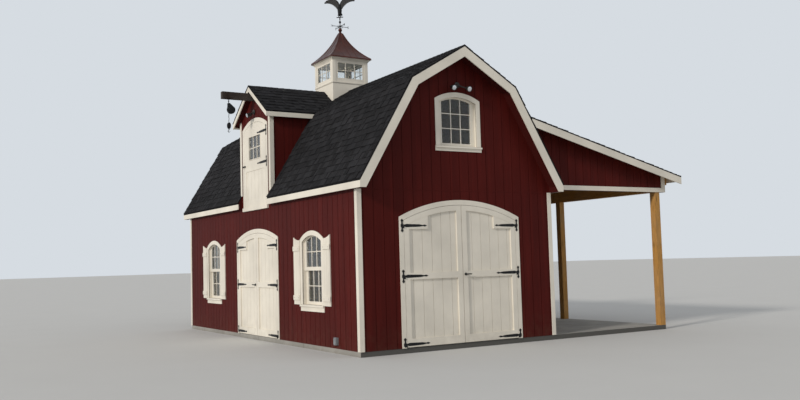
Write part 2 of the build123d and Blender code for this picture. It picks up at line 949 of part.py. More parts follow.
def dormer_gable(half, bottom, depth):
    """A wall shape that ends under the dormer's roof."""
    corner = dormer_line(half, depth)
    right = [(half, bottom), (half, corner)]
    return outline([*right, (0, dormer_line(0, depth)), (-half, corner), (-half, bottom)])


def dormer_band(top, bottom, outer, front, back):
    """A panel or board on the dormer's right slope."""
    middle = saw_gap / 2
    points = [(middle, dormer_line(middle, top)), (outer, dormer_line(outer, top))]
    points += [(outer, dormer_line(outer, bottom)), (middle, dormer_line(middle, bottom))]
    return plate(outline(points), front, back)


local_body = LEFT.inverse() * main_body
dormer_thickness = dormer_frame_depth + shingle_thickness
beam_bottom = ridge_height - hoist_beam_ridge_drop
beam_half = hoist_beam_width / 2
hoist_beam = block(
    -beam_half,
    beam_half,
    -hoist_reach,
    hoist_beam_inside,
    beam_bottom,
    beam_bottom + hoist_beam_depth,
)
beam_hole = block(
    -beam_half - fit_gap,
    beam_half + fit_gap,
    -hoist_reach,
    hoist_beam_inside,
    beam_bottom - fit_gap,
    beam_bottom + hoist_beam_depth + fit_gap,
)
loft_door_bottom = loft_floor_height + loft_sill_depth
loft_door = Door(
    loft_door_width,
    ridge_height - loft_door_side_drop,
    ridge_height - loft_door_apex_drop,
    ridge_height - loft_rail_drop,
)
dormer_front = plate(dormer_gable(dormer_half, loft_floor_height, dormer_thickness), 0, wall_thickness)
dormer_front -= loft_door.opening(loft_door_bottom)
dormer_front -= beam_hole

cheek_top = dormer_line(dormer_half, dormer_thickness)
cheek_foot = knee(roof_thickness)
cheek_section = [
    (-inner_x + saw_gap, lower_line(inner_x, roof_thickness)),
    (-inner_x + saw_gap, cheek_top),
    (-knee_half_width, cheek_top),
    (-cheek_foot[0], cheek_foot[1]),
]
cheek = along_y(cheek_section, -dormer_half + fit_gap, -dormer_half + wall_thickness)
cheek -= [mirrored(upper_panel), mirrored(upper_shingles)]
write("dormer_walls", LEFT * dormer_front, *both_ends([cheek]))

rake_front = -dormer_rake_overhang
rake_back = rake_front + trim_thickness
dormer_fascia_x = dormer_eave_half - trim_thickness
dormer_panel = dormer_band(shingle_thickness, dormer_thickness, dormer_fascia_x, rake_back, half_width)
dormer_shingle = dormer_band(0, shingle_thickness, dormer_eave_half, rake_front, half_width)
write("dormer_roof", *[LEFT * piece for piece in both_sides([dormer_panel - local_body])])
write("dormer_shingles", *[LEFT * piece for piece in both_sides([dormer_shingle - local_body])])

rake_low = shingle_thickness + dormer_rake_depth
dormer_rake = dormer_band(shingle_thickness, rake_low, dormer_eave_half, rake_front, rake_back)
fascia_top = dormer_line(dormer_eave_half, shingle_thickness)
fascia_low = fascia_top - dormer_fascia_depth
dormer_fascia = block(
    dormer_fascia_x,
    dormer_eave_half,
    rake_back + saw_gap,
    half_width,
    fascia_low,
    fascia_top,
)
corner_top = cheek_top - fit_gap
corner_front = block(
    dormer_half + trim_thickness - trim_width,
    dormer_half + trim_thickness,
    -trim_thickness,
    -fit_gap,
    soffit_height,
    corner_top,
)
corner_side = block(
    dormer_half,
    dormer_half + trim_thickness,
    0,
    trim_width - trim_thickness,
    soffit_height,
    corner_top,
)
under_roof = plate(dormer_gable(dormer_eave_half, 0, dormer_thickness), -trim_thickness, trim_width)
dormer_boards = [dormer_rake - beam_hole, dormer_fascia - local_body]
dormer_boards += [(board & under_roof) - local_body for board in (corner_front, corner_side)]
write("dormer_trim", *[LEFT * piece for piece in both_sides(dormer_boards)])

# Loft door, shut: one leaf with a light over its middle rail, its sill, hinges and latch
leaf_low = loft_door_bottom + fit_gap
loft_sill = block(
    -loft_door.outer,
    loft_door.outer,
    -sill_projection,
    -fit_gap,
    loft_floor_height,
    loft_door_bottom - saw_gap,
)
write("loft_door_casing", LEFT * loft_door.casing(loft_door_bottom), LEFT * loft_sill)

glass_low = ridge_height - loft_glass_drop
glass_high = glass_low + loft_glass_height
stile = loft_door.leaf - stile_width
loft_pocket = rect(-stile, stile, leaf_low + bottom_rail_width, loft_door.rail - mid_rail_width / 2)
loft_face = arch_face(loft_door.leaf, leaf_low, loft_door.leaf_radius, loft_door.centre)
loft_face -= rect(-loft_glass_half_width, loft_glass_half_width, glass_low, glass_high)
loft_leaf = plate(loft_face, -trim_thickness, loft_leaf_thickness - trim_thickness)
loft_leaf -= plate(loft_pocket, -trim_thickness - cut_margin, loft_panel_recess - trim_thickness)
write("loft_door_leaf", LEFT * loft_leaf)
pane_half = loft_glass_half_width - fit_gap
loft_pane = plate(rect(-pane_half, pane_half, glass_low + fit_gap, glass_high - fit_gap), 0, glass_thickness)
panes.append(LEFT * loft_pane)

loft_hinges = [ridge_height - drop for drop in (loft_top_hinge_drop, loft_low_hinge_drop)]
loft_hardware = [mirrored(strap(loft_door.hinge_x, z)) for z in loft_hinges]
loft_hardware += [mirrored(hinge_pad(loft_door.hinge_x, z, leaf_low)) for z in loft_hinges]
latch = block(
    -loft_latch_width / 2,
    loft_latch_width / 2,
    -trim_thickness - loft_latch_depth,
    -trim_thickness - fit_gap,
    -loft_latch_height / 2,
    loft_latch_height / 2,
)
loft_hardware.append(Pos(-loft_door.leaf + stile_width / 2, 0, loft_hinges[1]) * latch)
write("loft_door_hardware", *[LEFT * piece for piece in loft_hardware])


# Hoist, in the left wall's frame: an eye, a pear-shaped block over a sheave, a line, a block, a hook
write("hoist_beam", LEFT * hoist_beam)
hook_line = Pos(0, -hoist_reach + tackle_setback, beam_bottom)
turned = Rot(0, 0, 90)
eye_centre = -fit_gap - eye_ring_radius
eye_inner = eye_ring_radius - tackle_bar
eye_ring = Circle(eye_ring_radius) - Circle(eye_inner)
tackle = Pos(0, 0, eye_centre) * plate(eye_ring, -tackle_bar / 2, tackle_bar / 2)

shackle_top = eye_centre - eye_inner
pear_top = shackle_top - shackle_length
tackle += Pos(0, 0, (shackle_top + pear_top) / 2) * eight_sided(tackle_bar, shackle_length)

cheek_face = Pos(block_offset, -block_drop) * Circle(block_radius)
side_reach = block_radius * cos(radians(block_shoulder))
side_drop = block_radius * sin(radians(block_shoulder)) - block_drop
pear = [(-block_head, pear_top), (block_head, pear_top)]
pear += [(block_offset + side_reach, side_drop), (block_offset - side_reach, side_drop)]
cheek_face += outline(pear)
half_sheave = sheave_thickness / 2
tackle += turned * plate(cheek_face, half_sheave, half_sheave + block_cheek)
tackle += turned * plate(cheek_face, -half_sheave - block_cheek, -half_sheave)
sheave = Pos(block_offset, -block_drop) * Circle(sheave_radius)
tackle += turned * plate(sheave, -half_sheave, half_sheave)
head_block = rect(-block_head, block_head, pear_top - 2 * block_head, pear_top)
tackle += turned * plate(head_block, -half_sheave, half_sheave)

line_bottom = hook_drop - hook_radius
tackle += Pos(0, 0, -(block_drop + line_bottom) / 2) * eight_sided(tackle_bar, line_bottom - block_drop)
lower_cheeks = Pos(0, -lower_block_drop) * Ellipse(lower_block_half_width, lower_block_half_height)
tackle += turned * plate(lower_cheeks, -lower_block_thickness / 2, lower_block_thickness / 2)
hook = Circle(hook_radius) - Circle(hook_radius - tackle_bar) - rect(0, hook_radius, 0, hook_radius)
tackle += turned * plate(Pos(0, -hook_drop) * hook, -hook_thickness / 2, hook_thickness / 2)
write("hoist_tackle", LEFT * hook_line * tackle)

# Cupola
cupola_half = cupola_width / 2
cupola_inner = cupola_half - cupola_wall
belt_bottom = ridge_height + cupola_belt_rise
belt_top = belt_bottom + cupola_belt_depth
base_bottom = upper_line(cupola_half)


def square_block(half, low, high):
    """A square block on the cupola's centre."""
    return block(-half, half, -half, half, low, high)


base = square_block(cupola_half, base_bottom, belt_bottom)
base -= square_block(cupola_inner, base_bottom - cut_margin, belt_bottom - cupola_wall)
base -= main_body
base -= LEFT * plate(dormer_gable(dormer_half, 0, -fit_gap), 0, half_width)
base += square_block(cupola_half + cupola_belt_projection, belt_bottom, belt_top)
write("cupola_base", base)

lantern_top = belt_top + cupola_lantern_height
light_half = cupola_half - cupola_post
light_low = belt_top + cupola_rail
light_high = lantern_top - cupola_rail
lantern = square_block(cupola_half, belt_top, lantern_top)
lantern -= square_block(cupola_inner, belt_top - cut_margin, lantern_top + cut_margin)
light = block(-light_half, light_half, -cupola_width, cupola_width, light_low, light_high)
write("cupola_lantern", lantern - light - Rot(0, 0, 90) * light)

pane_half = light_half - fit_gap
pane_y = -cupola_half + cupola_wall / 2
cupola_pane = block(
    -pane_half,
    pane_half,
    pane_y,
    pane_y + glass_thickness,
    light_low + fit_gap,
    light_high - fit_gap,
)
panes += [Rot(0, 0, 90 * n) * cupola_pane for n in range(4)]
write("window_glass", *panes)

cornice_top = lantern_top + cornice_depth
roof_bottom = cornice_top + eave_board_depth
cornice = square_block((cupola_half + cupola_eave_half_width) / 2, lantern_top, cornice_top)
cornice += square_block(cupola_eave_half_width - eave_board_setback, cornice_top, roof_bottom)
write("cupola_cornice", cornice)

# The cupola's roof: one concave section swept through both directions
roof_top = roof_bottom + cupola_roof_rise
edge_top = roof_bottom + cupola_eave_edge
sweep = [
    (cupola_eave_half_width, edge_top),
    (cupola_waist_half_width, roof_bottom + cupola_waist_rise),
    (cupola_neck_half_width, roof_top),
]
bell_right = ThreePointArc(*sweep)
bell_left = ThreePointArc(*[(-x, z) for x, z in sweep])
bell_top = Line((cupola_neck_half_width, roof_top), (-cupola_neck_half_width, roof_top))
bell_foot = Polyline(
    (-cupola_eave_half_width, edge_top),
    (-cupola_eave_half_width, roof_bottom),
    (cupola_eave_half_width, roof_bottom),
    (cupola_eave_half_width, edge_top),
)
bell_face = make_face([bell_right, bell_top, bell_left, *bell_foot.edges()])
bell = plate(bell_face, -cupola_eave_half_width, cupola_eave_half_width)
write("cupola_roof", bell & Rot(0, 0, 90) * bell)

# Weathervane: the mast with its fixed arms
perch_height = roof_top + vane_perch_rise
rod_top = perch_height - fit_gap
mast = Pos(0, 0, (roof_top + rod_top) / 2) * Cylinder(vane_rod_radius, rod_top - roof_top)
collar = Plane.XY.offset(roof_top) * Rectangle(2 * vane_collar_half_width, 2 * vane_collar_half_width)
mast += extrude(collar, amount=vane_collar_height, taper=vane_collar_taper)
ball_side = vane_ball_radius * sin(radians(vane_ball_facing) / 2)
ball_face = vane_ball_radius * cos(radians(vane_ball_facing) / 2)
ball = [(0, -ball_face), (ball_side, -ball_face), (ball_face, -ball_side)]
ball += [(x, -z) for x, z in reversed(ball)]
mast += Pos(0, 0, roof_top + vane_ball_rise) * revolve(Plane.XZ * outline(ball), Axis.Z)
spindle = [(0, -vane_knob_half_height), (vane_knob_radius, 0), (0, vane_knob_half_height)]
mast += Pos(0, 0, roof_top + vane_knob_rise) * revolve(Plane.XZ * outline(spindle), Axis.Z)
arms = Box(2 * vane_arm_length, vane_arm_width, vane_arm_width)
mast += Pos(0, 0, roof_top + vane_arms_rise) * (arms + Rot(0, 0, 90) * arms)
write("vane_mast", mast)


# The eagle that turns on the mast, drawn facing -Y with its perch at zero
def wing():
    """The right wing: an arched leading edge and a trailing edge of feather tips."""
    tip = eagle_half_span, eagle_height - eagle_tip_drop
    armpit = eagle_wing_root, eagle_armpit_rise
    shoulder = 0, eagle_shoulder_rise
    bend = eagle_wing_bend_reach, eagle_wing_bend_rise
    crest = eagle_crest_reach, eagle_height
    trailing = ThreePointArc(tip, bend, armpit)
    edges = [ThreePointArc(shoulder, crest, tip)]
    for n in range(eagle_feathers):
        start = trailing @ (n / eagle_feathers)
        end = trailing @ ((n + 1) / eagle_feathers)
        along = (end - start).normalized()
        lobe = (start + end) / 2 + Vector(along.Y, -along.X) * -eagle_feather_depth
        edges.append(ThreePointArc(start, lobe, end))
    edges.append(Line(armpit, (0, eagle_armpit_rise)))
    edges.append(Line((0, eagle_armpit_rise), shoulder))
    return plate(make_face(edges), -eagle_plate / 2, eagle_plate / 2)


def eagle():
    """Body, head, legs, tail and wings on a short perch, over a sleeve for the mast."""
    belly = (eagle_body_low + eagle_body_high) / 2
    crown = eagle_body_high + eagle_head_height
    bill = eagle_body_high + eagle_head_height / 2
    profile = [
        (0, eagle_body_low),
        (eagle_rump_radius, eagle_body_low),
        (eagle_body_radius, belly),
        (eagle_breast_radius, eagle_breast_rise),
        (eagle_neck_radius, eagle_body_high),
        (eagle_head_radius, bill),
        (eagle_crown_radius, crown),
        (0, crown),
    ]
    bird = revolve(Plane.XZ * outline(profile), Axis.Z)
    beak = [
        (0, bill - eagle_beak_drop),
        (-eagle_head_radius - eagle_beak_length, bill - eagle_beak_drop),
        (-eagle_head_radius, bill + eagle_beak_drop),
        (0, bill + eagle_beak_drop),
    ]
    bird += along_x(beak, -eagle_beak_drop / 2, eagle_beak_drop / 2)
    leg = eagle_leg_width / 2
    for x in (-eagle_leg_spread, eagle_leg_spread):
        bird += block(x - leg, x + leg, -leg, leg, 0, eagle_leg_length)
    bird += Rot(0, 90, 0) * eight_sided(eagle_perch_radius, eagle_perch_length)
    root = eagle_body_radius / 2
    tail = [(-root, belly), (root, belly), (eagle_tail_width / 2, belly - eagle_tail_length)]
    tail.append((-eagle_tail_width / 2, belly - eagle_tail_length))
    bird += plate(outline(tail), root, root + eagle_plate)
    for piece in both_sides([wing()]):
        bird += piece
    sleeve = Pos(0, 0, -vane_sleeve_length / 2)
    bird += sleeve * eight_sided(vane_sleeve_radius, vane_sleeve_length)
    return bird - sleeve * Cylinder(vane_rod_radius + pin_clearance, vane_sleeve_length)


write("vane_eagle", Pos(0, 0, perch_height) * Rot(0, 0, eagle_turn) * eagle())


# Lights and the outlet box
def lamp_fixture(places, height):
    """A wall base with an arm and a flared, tilted lamp for each place along the wall."""
    profile = [(0, 0), (lamp_radius, 0), (lamp_back_radius, lamp_length), (0, lamp_length)]
    housing = revolve(Plane.XZ * outline(profile), Axis.Z)
    head = Rot(lamp_tilt - 90, 0, 0) * Pos(0, 0, -lamp_length / 2) * housing
    start = Vector(0, -lamp_base_depth / 2 - fit_gap, height + lamp_base_rise)
    fixture = Pos(start) * Rot(90, 0, 0) * eight_sided(lamp_base_radius, lamp_base_depth)
    for x in places:
        end = Vector(x, -lamp_reach, height)
        reach = end - start
        arm = Rectangle(lamp_arm_width, lamp_arm_width)
        fixture += extrude(Plane(start, z_dir=reach) * arm, amount=reach.length)
        fixture += Pos(end) * head
    return fixture


gable_lamp_height = soffit_height + gable_window_apex_rise + lamp_clearance + lamp_radius
loft_lamp_height = ridge_height - loft_door_apex_drop + lamp_clearance + lamp_radius
write(
    "flood_lights",
    FRONT * lamp_fixture((-lamp_spacing / 2, lamp_spacing / 2), gable_lamp_height),
    LEFT * lamp_fixture((0,), loft_lamp_height),
)
outlet_y = -half_length + outlet_box_setback
write(
    "outlet_box",
    block(
        -half_width - outlet_box_depth,
        -half_width - fit_gap,
        outlet_y,
        outlet_y + outlet_box_width,
        outlet_box_bottom,
        outlet_box_bottom + outlet_box_height,
    ),
)
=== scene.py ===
"""Looks of the gambrel barn shed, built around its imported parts. Metres, +Z up, +Y from front to rear."""

import math

import bmesh
import bpy
from bpy.props import FloatProperty, FloatVectorProperty, PointerProperty
from mathutils import Matrix, Vector


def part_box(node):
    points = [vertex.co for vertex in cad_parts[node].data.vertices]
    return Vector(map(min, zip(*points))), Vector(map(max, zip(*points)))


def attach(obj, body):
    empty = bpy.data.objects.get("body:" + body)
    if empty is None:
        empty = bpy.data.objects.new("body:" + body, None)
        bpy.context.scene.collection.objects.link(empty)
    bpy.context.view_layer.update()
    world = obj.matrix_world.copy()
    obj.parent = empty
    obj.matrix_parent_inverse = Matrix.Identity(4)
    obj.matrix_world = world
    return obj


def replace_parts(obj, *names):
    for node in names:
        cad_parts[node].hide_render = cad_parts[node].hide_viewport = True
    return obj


bl_info = {
    "name": "Gambrel Barn Shed",
    "version": (1, 0, 0),
    "blender": (4, 5, 0),
    "location": "View3D > Sidebar > Barn Shed",
    "description": "Siding, shingles, window bars, ironwork and finishes of a gambrel barn shed",
    "category": "Object",
}

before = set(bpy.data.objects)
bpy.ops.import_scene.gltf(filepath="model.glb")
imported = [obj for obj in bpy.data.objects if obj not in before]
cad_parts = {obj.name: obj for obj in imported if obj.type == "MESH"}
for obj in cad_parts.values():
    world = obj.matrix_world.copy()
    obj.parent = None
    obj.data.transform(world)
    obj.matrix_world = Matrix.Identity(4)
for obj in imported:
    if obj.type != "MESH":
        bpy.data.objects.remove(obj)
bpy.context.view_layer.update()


def mm(*values):
    """Millimetres as metres, nested as given."""
    return [value / 1000 if isinstance(value, (int, float)) else mm(*value) for value in values]


def mirrored(*half):
    """A turned profile in millimetres, with its mirror image below height zero."""
    upper = mm(*half)
    return [(radius, -height) for radius, height in reversed(upper) if height] + upper


def at(x, y, z):
    """A shift."""
    return Matrix.Translation((x, y, z))


def turned(angle, axis="Z"):
    """A turn about one axis."""
    return Matrix.Rotation(angle, 4, axis)


# A place has X along the wall, -Y out of its face and Z up from the floor slab.
QUARTER = math.pi / 2
OUT = turned(QUARTER, "X")
ACROSS = turned(QUARTER, "Y")
SIDES = (-1, 1)
HALF_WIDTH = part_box("right_wall")[1].x
HALF_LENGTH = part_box("rear_wall")[1].y
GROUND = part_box("slabs")[1].z
FRONT = at(0, -HALF_LENGTH, GROUND)
REAR = at(0, HALF_LENGTH, GROUND) @ turned(math.pi)
LEFT = at(-HALF_WIDTH, 0, GROUND) @ turned(-QUARTER)
BUILDING = "building"

# Walls and roofs: heights above the floor slab, slopes as drop over reach
WALL = 0.105
WALL_MARGIN = 0.003
REVEAL_MARGIN = 0.002
SOFFIT = 2.754
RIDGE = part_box("main_shingles")[1].z
CAP_LIFT = 0.016
CAP_REACH = 0.135
CAP_LEAN = -0.05
MAIN_SLOPE = 0.58992
DORMER_SLOPE = 0.70306
RAKE_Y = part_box("main_shingles")[1].y
DORMER_FRONT = -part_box("dormer_shingles")[0].x
DORMER_HALF = 0.844
CUPOLA_HALF = 0.445
CUPOLA_PLACE = at(0, 0, GROUND)

# Doors, windows and shutters: reaches along their wall, from its middle or their own
WINDOWS = (-2.750, 2.750)
PANEL_RECESS = 0.016
FIRST_PLANK = 0.236
SHUTTER_BOARD = 0.0945
SHUTTER_EDGE = 0.505 + 0.003
SHUTTER_MIDDLE = SHUTTER_EDGE + 0.146
SHUTTER_SCREWS = (SHUTTER_EDGE + 0.040, SHUTTER_EDGE + 0.240)
SHUTTER_BATTENS = (1.800, 0.860)
SHUTTER_FACE = -0.043
THIN_GROOVE = 0.004
THIN_BOARD = 0.005

# Ironwork: strap screws as reach from the hinge line and lift from the strap's middle
STRAP_FACE = -0.023
STRAP_SCREWS = mm((28, 8), (70, -15), (130, 13), (200, -11), (280, 9), (435, 0))
PAD_SCREWS = mm(-88, -40, 40, 88)
PAD_REACH = 0.036
LOWEST_SCREW = 0.03
LOFT_HINGE = 0.6185
LOFT_STRAPS = (4.345, 3.685)
LEVER_REACH = 0.057
LEVER_DEPTH = -0.057
ROSE_DEPTH = -0.0245

# Lamps, hoist and weathervane
LAMP_TILT = 20
LAMP_HEAD = 0.0525
LAMP_ARM = Vector((0, -0.130, 0))
LAMP_BASE = Vector((0, -0.0245, 0.070))
TACKLE_PLACE = LEFT @ at(0, -0.589, 5.064)
VANE_FOOT = GROUND + 6.800
VANE_ARMS = VANE_FOOT + 0.170
VANE_KNOB = VANE_FOOT + 0.274
EAGLE_PLACE = at(0, 0, VANE_FOOT + 0.390) @ turned(math.radians(-42))

# Where the key light shines to, and how wide it is in degrees
SUN_DIRECTION = (0.88, 0.26, -0.42)
SUN_ANGLE = 8

# The finishes with rounded edges shaded smooth
SMOOTH = ("black_iron", "lamp_enamel", "lamp_lens", "weathered_copper")


def length(name, description, default):
    """A length that a user may change."""
    return FloatProperty(name=name, description=description, default=default, unit="LENGTH", precision=4)


def angle(name, description, degrees):
    """An angle that a user may change."""
    return FloatProperty(name=name, description=description, default=math.radians(degrees), subtype="ANGLE")


def colour(name, description, *tone):
    """A finish colour, given as red, green and blue from 0 to 255."""
    linear = [((c / 255 + 0.055) / 1.055) ** 2.4 if c > 10 else c / 255 / 12.92 for c in tone]
    return FloatVectorProperty(
        name=name, description=description, default=linear, subtype="COLOR", size=3, min=0, max=1
    )


class ShedSizes(bpy.types.PropertyGroup):
    """Sizes of what repeats on the shed."""

    groove_spacing: length("Groove spacing", "From one siding groove to the next", 0.203)
    groove_width: length("Groove width", "Width of a siding groove", 0.011)
    siding_depth: length("Siding depth", "How deep the siding grooves are", 0.007)
    plank_width: length("Plank width", "Width of the grooved boards in door panels", 0.203)
    plank_groove: length("Plank groove", "Groove between the boards in door panels", 0.006)
    plank_depth: length("Plank depth", "Thickness of the boards in door panels", 0.010)
    exposure: length("Shingle exposure", "Height of a shingle course that shows", 0.142)
    tab_width: length("Tab width", "Usual width of a shingle tab", 0.236)
    tab_thickness: length("Tab thickness", "Thickness of a shingle tab", 0.006)
    window_bar: length("Window bar", "Width of a window's bars", 0.016)
    loft_bar: length("Loft bar", "Width of the bars in the loft door and the cupola", 0.014)
    screw_radius: length("Screw radius", "Radius of a hinge's screw heads", 0.006)


class ShedColours(bpy.types.PropertyGroup):
    """Colours of the shed's finishes."""

    siding: colour("Siding", "Barn-red paint on the siding", 80, 22, 18)
    trim: colour("Trim", "White paint on trim, doors and shutters", 228, 221, 207)
    shingle: colour("Shingle", "Asphalt shingles", 34, 34, 36)
    copper: colour("Copper", "Weathered copper", 92, 54, 47)
    lumber: colour("Lumber", "Treated pine posts and beam", 190, 140, 74)
    timber: colour("Timber", "Dark stained hoist beam", 44, 31, 26)
    iron: colour("Iron", "Black iron hardware", 24, 24, 26)
    concrete: colour("Concrete", "Concrete slabs", 158, 155, 148)
    glass: colour("Glass", "Window glass", 247, 250, 250)
    box: colour("Box", "Grey outlet box", 128, 131, 134)
    plywood: colour("Plywood", "Bare boards inside", 190, 158, 112)
    bronze: colour("Bronze", "Dark bronze enamel on the flood lamps", 46, 40, 36)
    lens: colour("Lens", "Flood lamp lenses", 214, 218, 222)


class ShedStage(bpy.types.PropertyGroup):
    """Camera, floor and light."""

    lens: FloatProperty(name="Lens", description="Focal length", default=38.2234, subtype="DISTANCE_CAMERA")
    eye: FloatVectorProperty(
        name="Eye",
        description="Where the camera stands",
        default=(-8.96299, -17.22173, 1.59565),
        size=3,
        subtype="TRANSLATION",
    )
    yaw: angle("Yaw", "Turn towards +X", 31.2628)
    pitch: angle("Pitch", "Upward tilt", 4.1120)
    roll: angle("Roll", "Turn about the view", -1.6291)
    floor_size: length("Floor size", "Width of the floor", 400.0)
    sky: colour("Backdrop", "Colour behind the object", 214, 220, 226)
    floor: colour("Floor", "Colour of the floor", 196, 195, 192)
    key_strength: FloatProperty(name="Key light", description="Strength of the key light", default=2.0)
    fill_strength: FloatProperty(name="Fill light", description="Strength of the fill light", default=0.56)


# Nodes
class Nodes:
    """A node tree under way."""

    def __init__(self, tree):
        self.tree = tree

    def add(self, kind, inputs=(), **settings):
        """Add a node, set its properties, and set or link its inputs by name or number."""
        node = self.tree.nodes.new(kind)
        for key, value in settings.items():
            setattr(node, key, value)
        for key, value in dict(inputs).items():
            socket = node.inputs[key]
            if isinstance(value, bpy.types.NodeSocket):
                self.tree.links.new(value, socket)
            else:
                socket.default_value = value
        return node

    def out(self, kind, inputs=(), which=0, **settings):
        """Add a node and give one of its results."""
        return self.add(kind, inputs, **settings).outputs[which]

    def maths(self, operation, *values):
        """A Math node's result."""
        return self.out("ShaderNodeMath", enumerate(values), operation=operation)

    def times(self, *values):
        """Two values multiplied."""
        return self.maths("MULTIPLY", *values)

    def vector(self, *values):
        """A vector from its parts."""
        return self.out("ShaderNodeCombineXYZ", enumerate(values))


def tree_with(name, inputs):
    """An empty Geometry Nodes tree with named inputs, and the results of its group input."""
    tree = bpy.data.node_groups.new(name, "GeometryNodeTree")
    geometry = ("Geometry", "Geometry", None)
    for label, kind, default in (geometry, *inputs):
        socket = tree.interface.new_socket(label, in_out="INPUT", socket_type="NodeSocket" + kind)
        if default is not None:
            socket.default_value = default
    tree.interface.new_socket("Geometry", in_out="OUTPUT", socket_type="NodeSocketGeometry")
    return Nodes(tree), tree.nodes.new("NodeGroupInput").outputs


def close_tree(nodes, geometry, material):
    """End a tree in Realize Instances and Set Material."""
    real = nodes.out("GeometryNodeRealizeInstances", {0: geometry})
    painted = nodes.out("GeometryNodeSetMaterial", {"Geometry": real, "Material": material})
    nodes.add("NodeGroupOutput", {0: painted})


def toned(nodes, instances, tone):
    """Instances that carry a tone from 0 to 1 for the shingle finish."""
    values = {"Geometry": instances, "Name": "tone", "Value": tone}
    return nodes.out("GeometryNodeStoreNamedAttribute", values, data_type="FLOAT", domain="INSTANCE")


def grown(mesh, tree, values):
    """The mesh that a Geometry Nodes tree makes from another, with its named inputs set."""
    maker = bpy.data.objects.new("maker", mesh)
    bpy.context.scene.collection.objects.link(maker)
    modifier = maker.modifiers.new("Nodes", "NODES")
    modifier.node_group = tree
    for item in tree.interface.items_tree:
        if item.item_type == "SOCKET" and item.in_out == "INPUT" and item.name in values:
            modifier[item.identifier] = values[item.name]
    bpy.context.view_layer.update()
    depsgraph = bpy.context.evaluated_depsgraph_get()
    made = bpy.data.meshes.new_from_object(maker.evaluated_get(depsgraph))
    maker.modifiers.clear()
    bpy.data.objects.remove(maker)
    return made


# Materials
def shade(value, factor=1.0):
    """A colour as four numbers, made darker or lighter by a factor; a socket stays as it is."""
    if isinstance(value, bpy.types.NodeSocket):
        return value
    return [min(1.0, c * factor) for c in list(value)[:3]] + [1.0]


class Finish(Nodes):
    """A material under way: object coordinates, a base colour that coats change, one Principled shader.

    A tint is a share of the finish's own tone, a colour, or a socket.
    """

    made = {}

    def __init__(self, name, tone, **constants):
        self.material = bpy.data.materials.new(name)
        self.material.use_nodes = True
        super().__init__(self.material.node_tree)
        self.tree.nodes.clear()
        self.tone = tone
        self.base = shade(tone)
        self.place = self.out("ShaderNodeTexCoord", which="Object")
        self.shader = self.add("ShaderNodeBsdfPrincipled", constants)
        self.add("ShaderNodeOutputMaterial", {"Surface": self.shader.outputs[0]})
        Finish.made[name] = self.material

    def stretched(self, scale):
        """Coordinates scaled differently along each axis."""
        return self.out("ShaderNodeMapping", {"Vector": self.place, "Scale": scale})

    def noise(self, scale, detail=4.0, stretch=None, roughness=0.55, distortion=0.0):
        """Soft noise from 0 to 1."""
        values = {"Scale": scale, "Detail": detail, "Roughness": roughness, "Distortion": distortion}
        values["Vector"] = self.stretched(stretch) if stretch else self.place
        return self.out("ShaderNodeTexNoise", values)

    def cells(self, scale, stretch=None, feature="F1"):
        """Distance to the nearest of scattered points."""
        where = self.stretched(stretch) if stretch else self.place
        return self.out("ShaderNodeTexVoronoi", {"Vector": where, "Scale": scale}, feature=feature)

    def axis(self, name):
        """One coordinate."""
        return self.out("ShaderNodeSeparateXYZ", {0: self.place}, name)

    def within(self, half_x, half_y):
        """One where X and Y both lie inside half sizes, and zero elsewhere."""
        near = [
            self.maths("LESS_THAN", self.maths("ABSOLUTE", self.axis(name)), half)
            for name, half in (("X", half_x), ("Y", half_y))
        ]
        return self.times(*near)

    def remap(self, value, low, high, new_low=0.0, new_high=1.0):
        """A value taken from one range to another and held inside it."""
        sockets = {"Value": value, "From Min": low, "From Max": high, "To Min": new_low, "To Max": new_high}
        return self.out("ShaderNodeMapRange", sockets)

    def tint(self, value):
        """A tint as a colour or socket."""
        return shade(self.tone, value) if isinstance(value, (int, float)) else shade(value)

    def mix(self, share, first, second):
        """Two tints mixed."""
        values = {0: share, 6: self.tint(first), 7: self.tint(second)}
        return self.out("ShaderNodeMix", values, 2, data_type="RGBA", blend_type="MIX")

    def ground(self, mask, low, high, first, second):
        """Start the base colour from two tints mixed by a mask."""
        self.base = self.mix(self.remap(mask, low, high), first, second)

    def lay(self, share, tint):
        """Lay a tint over the base colour."""
        self.base = self.mix(share, self.base, tint)

    def coat(self, mask, low, high, share, tint, start=0.0):
        """Lay a tint over the base colour where a mask lies between two values."""
        self.lay(self.remap(mask, low, high, start, share), tint)

    def done(self, rough, *relief):
        """Link colour, roughness as (mask, low, high) and relief as (height, depth in metres)."""
        mask, low, high = rough
        normal = None
        for height, depth in relief:
            values = {"Height": height, "Distance": depth, "Strength": 1.0}
            if normal is not None:
                values["Normal"] = normal
            normal = self.out("ShaderNodeBump", values)
        dull = self.remap(mask, 0.25, 0.75, low, high)
        for name, result in (("Base Color", self.base), ("Roughness", dull), ("Normal", normal)):
            self.tree.links.new(result, self.shader.inputs[name])


UPRIGHT_GRAIN = (14, 14, 1.2)
LEVEL_GRAIN = (1.2, 14, 14)


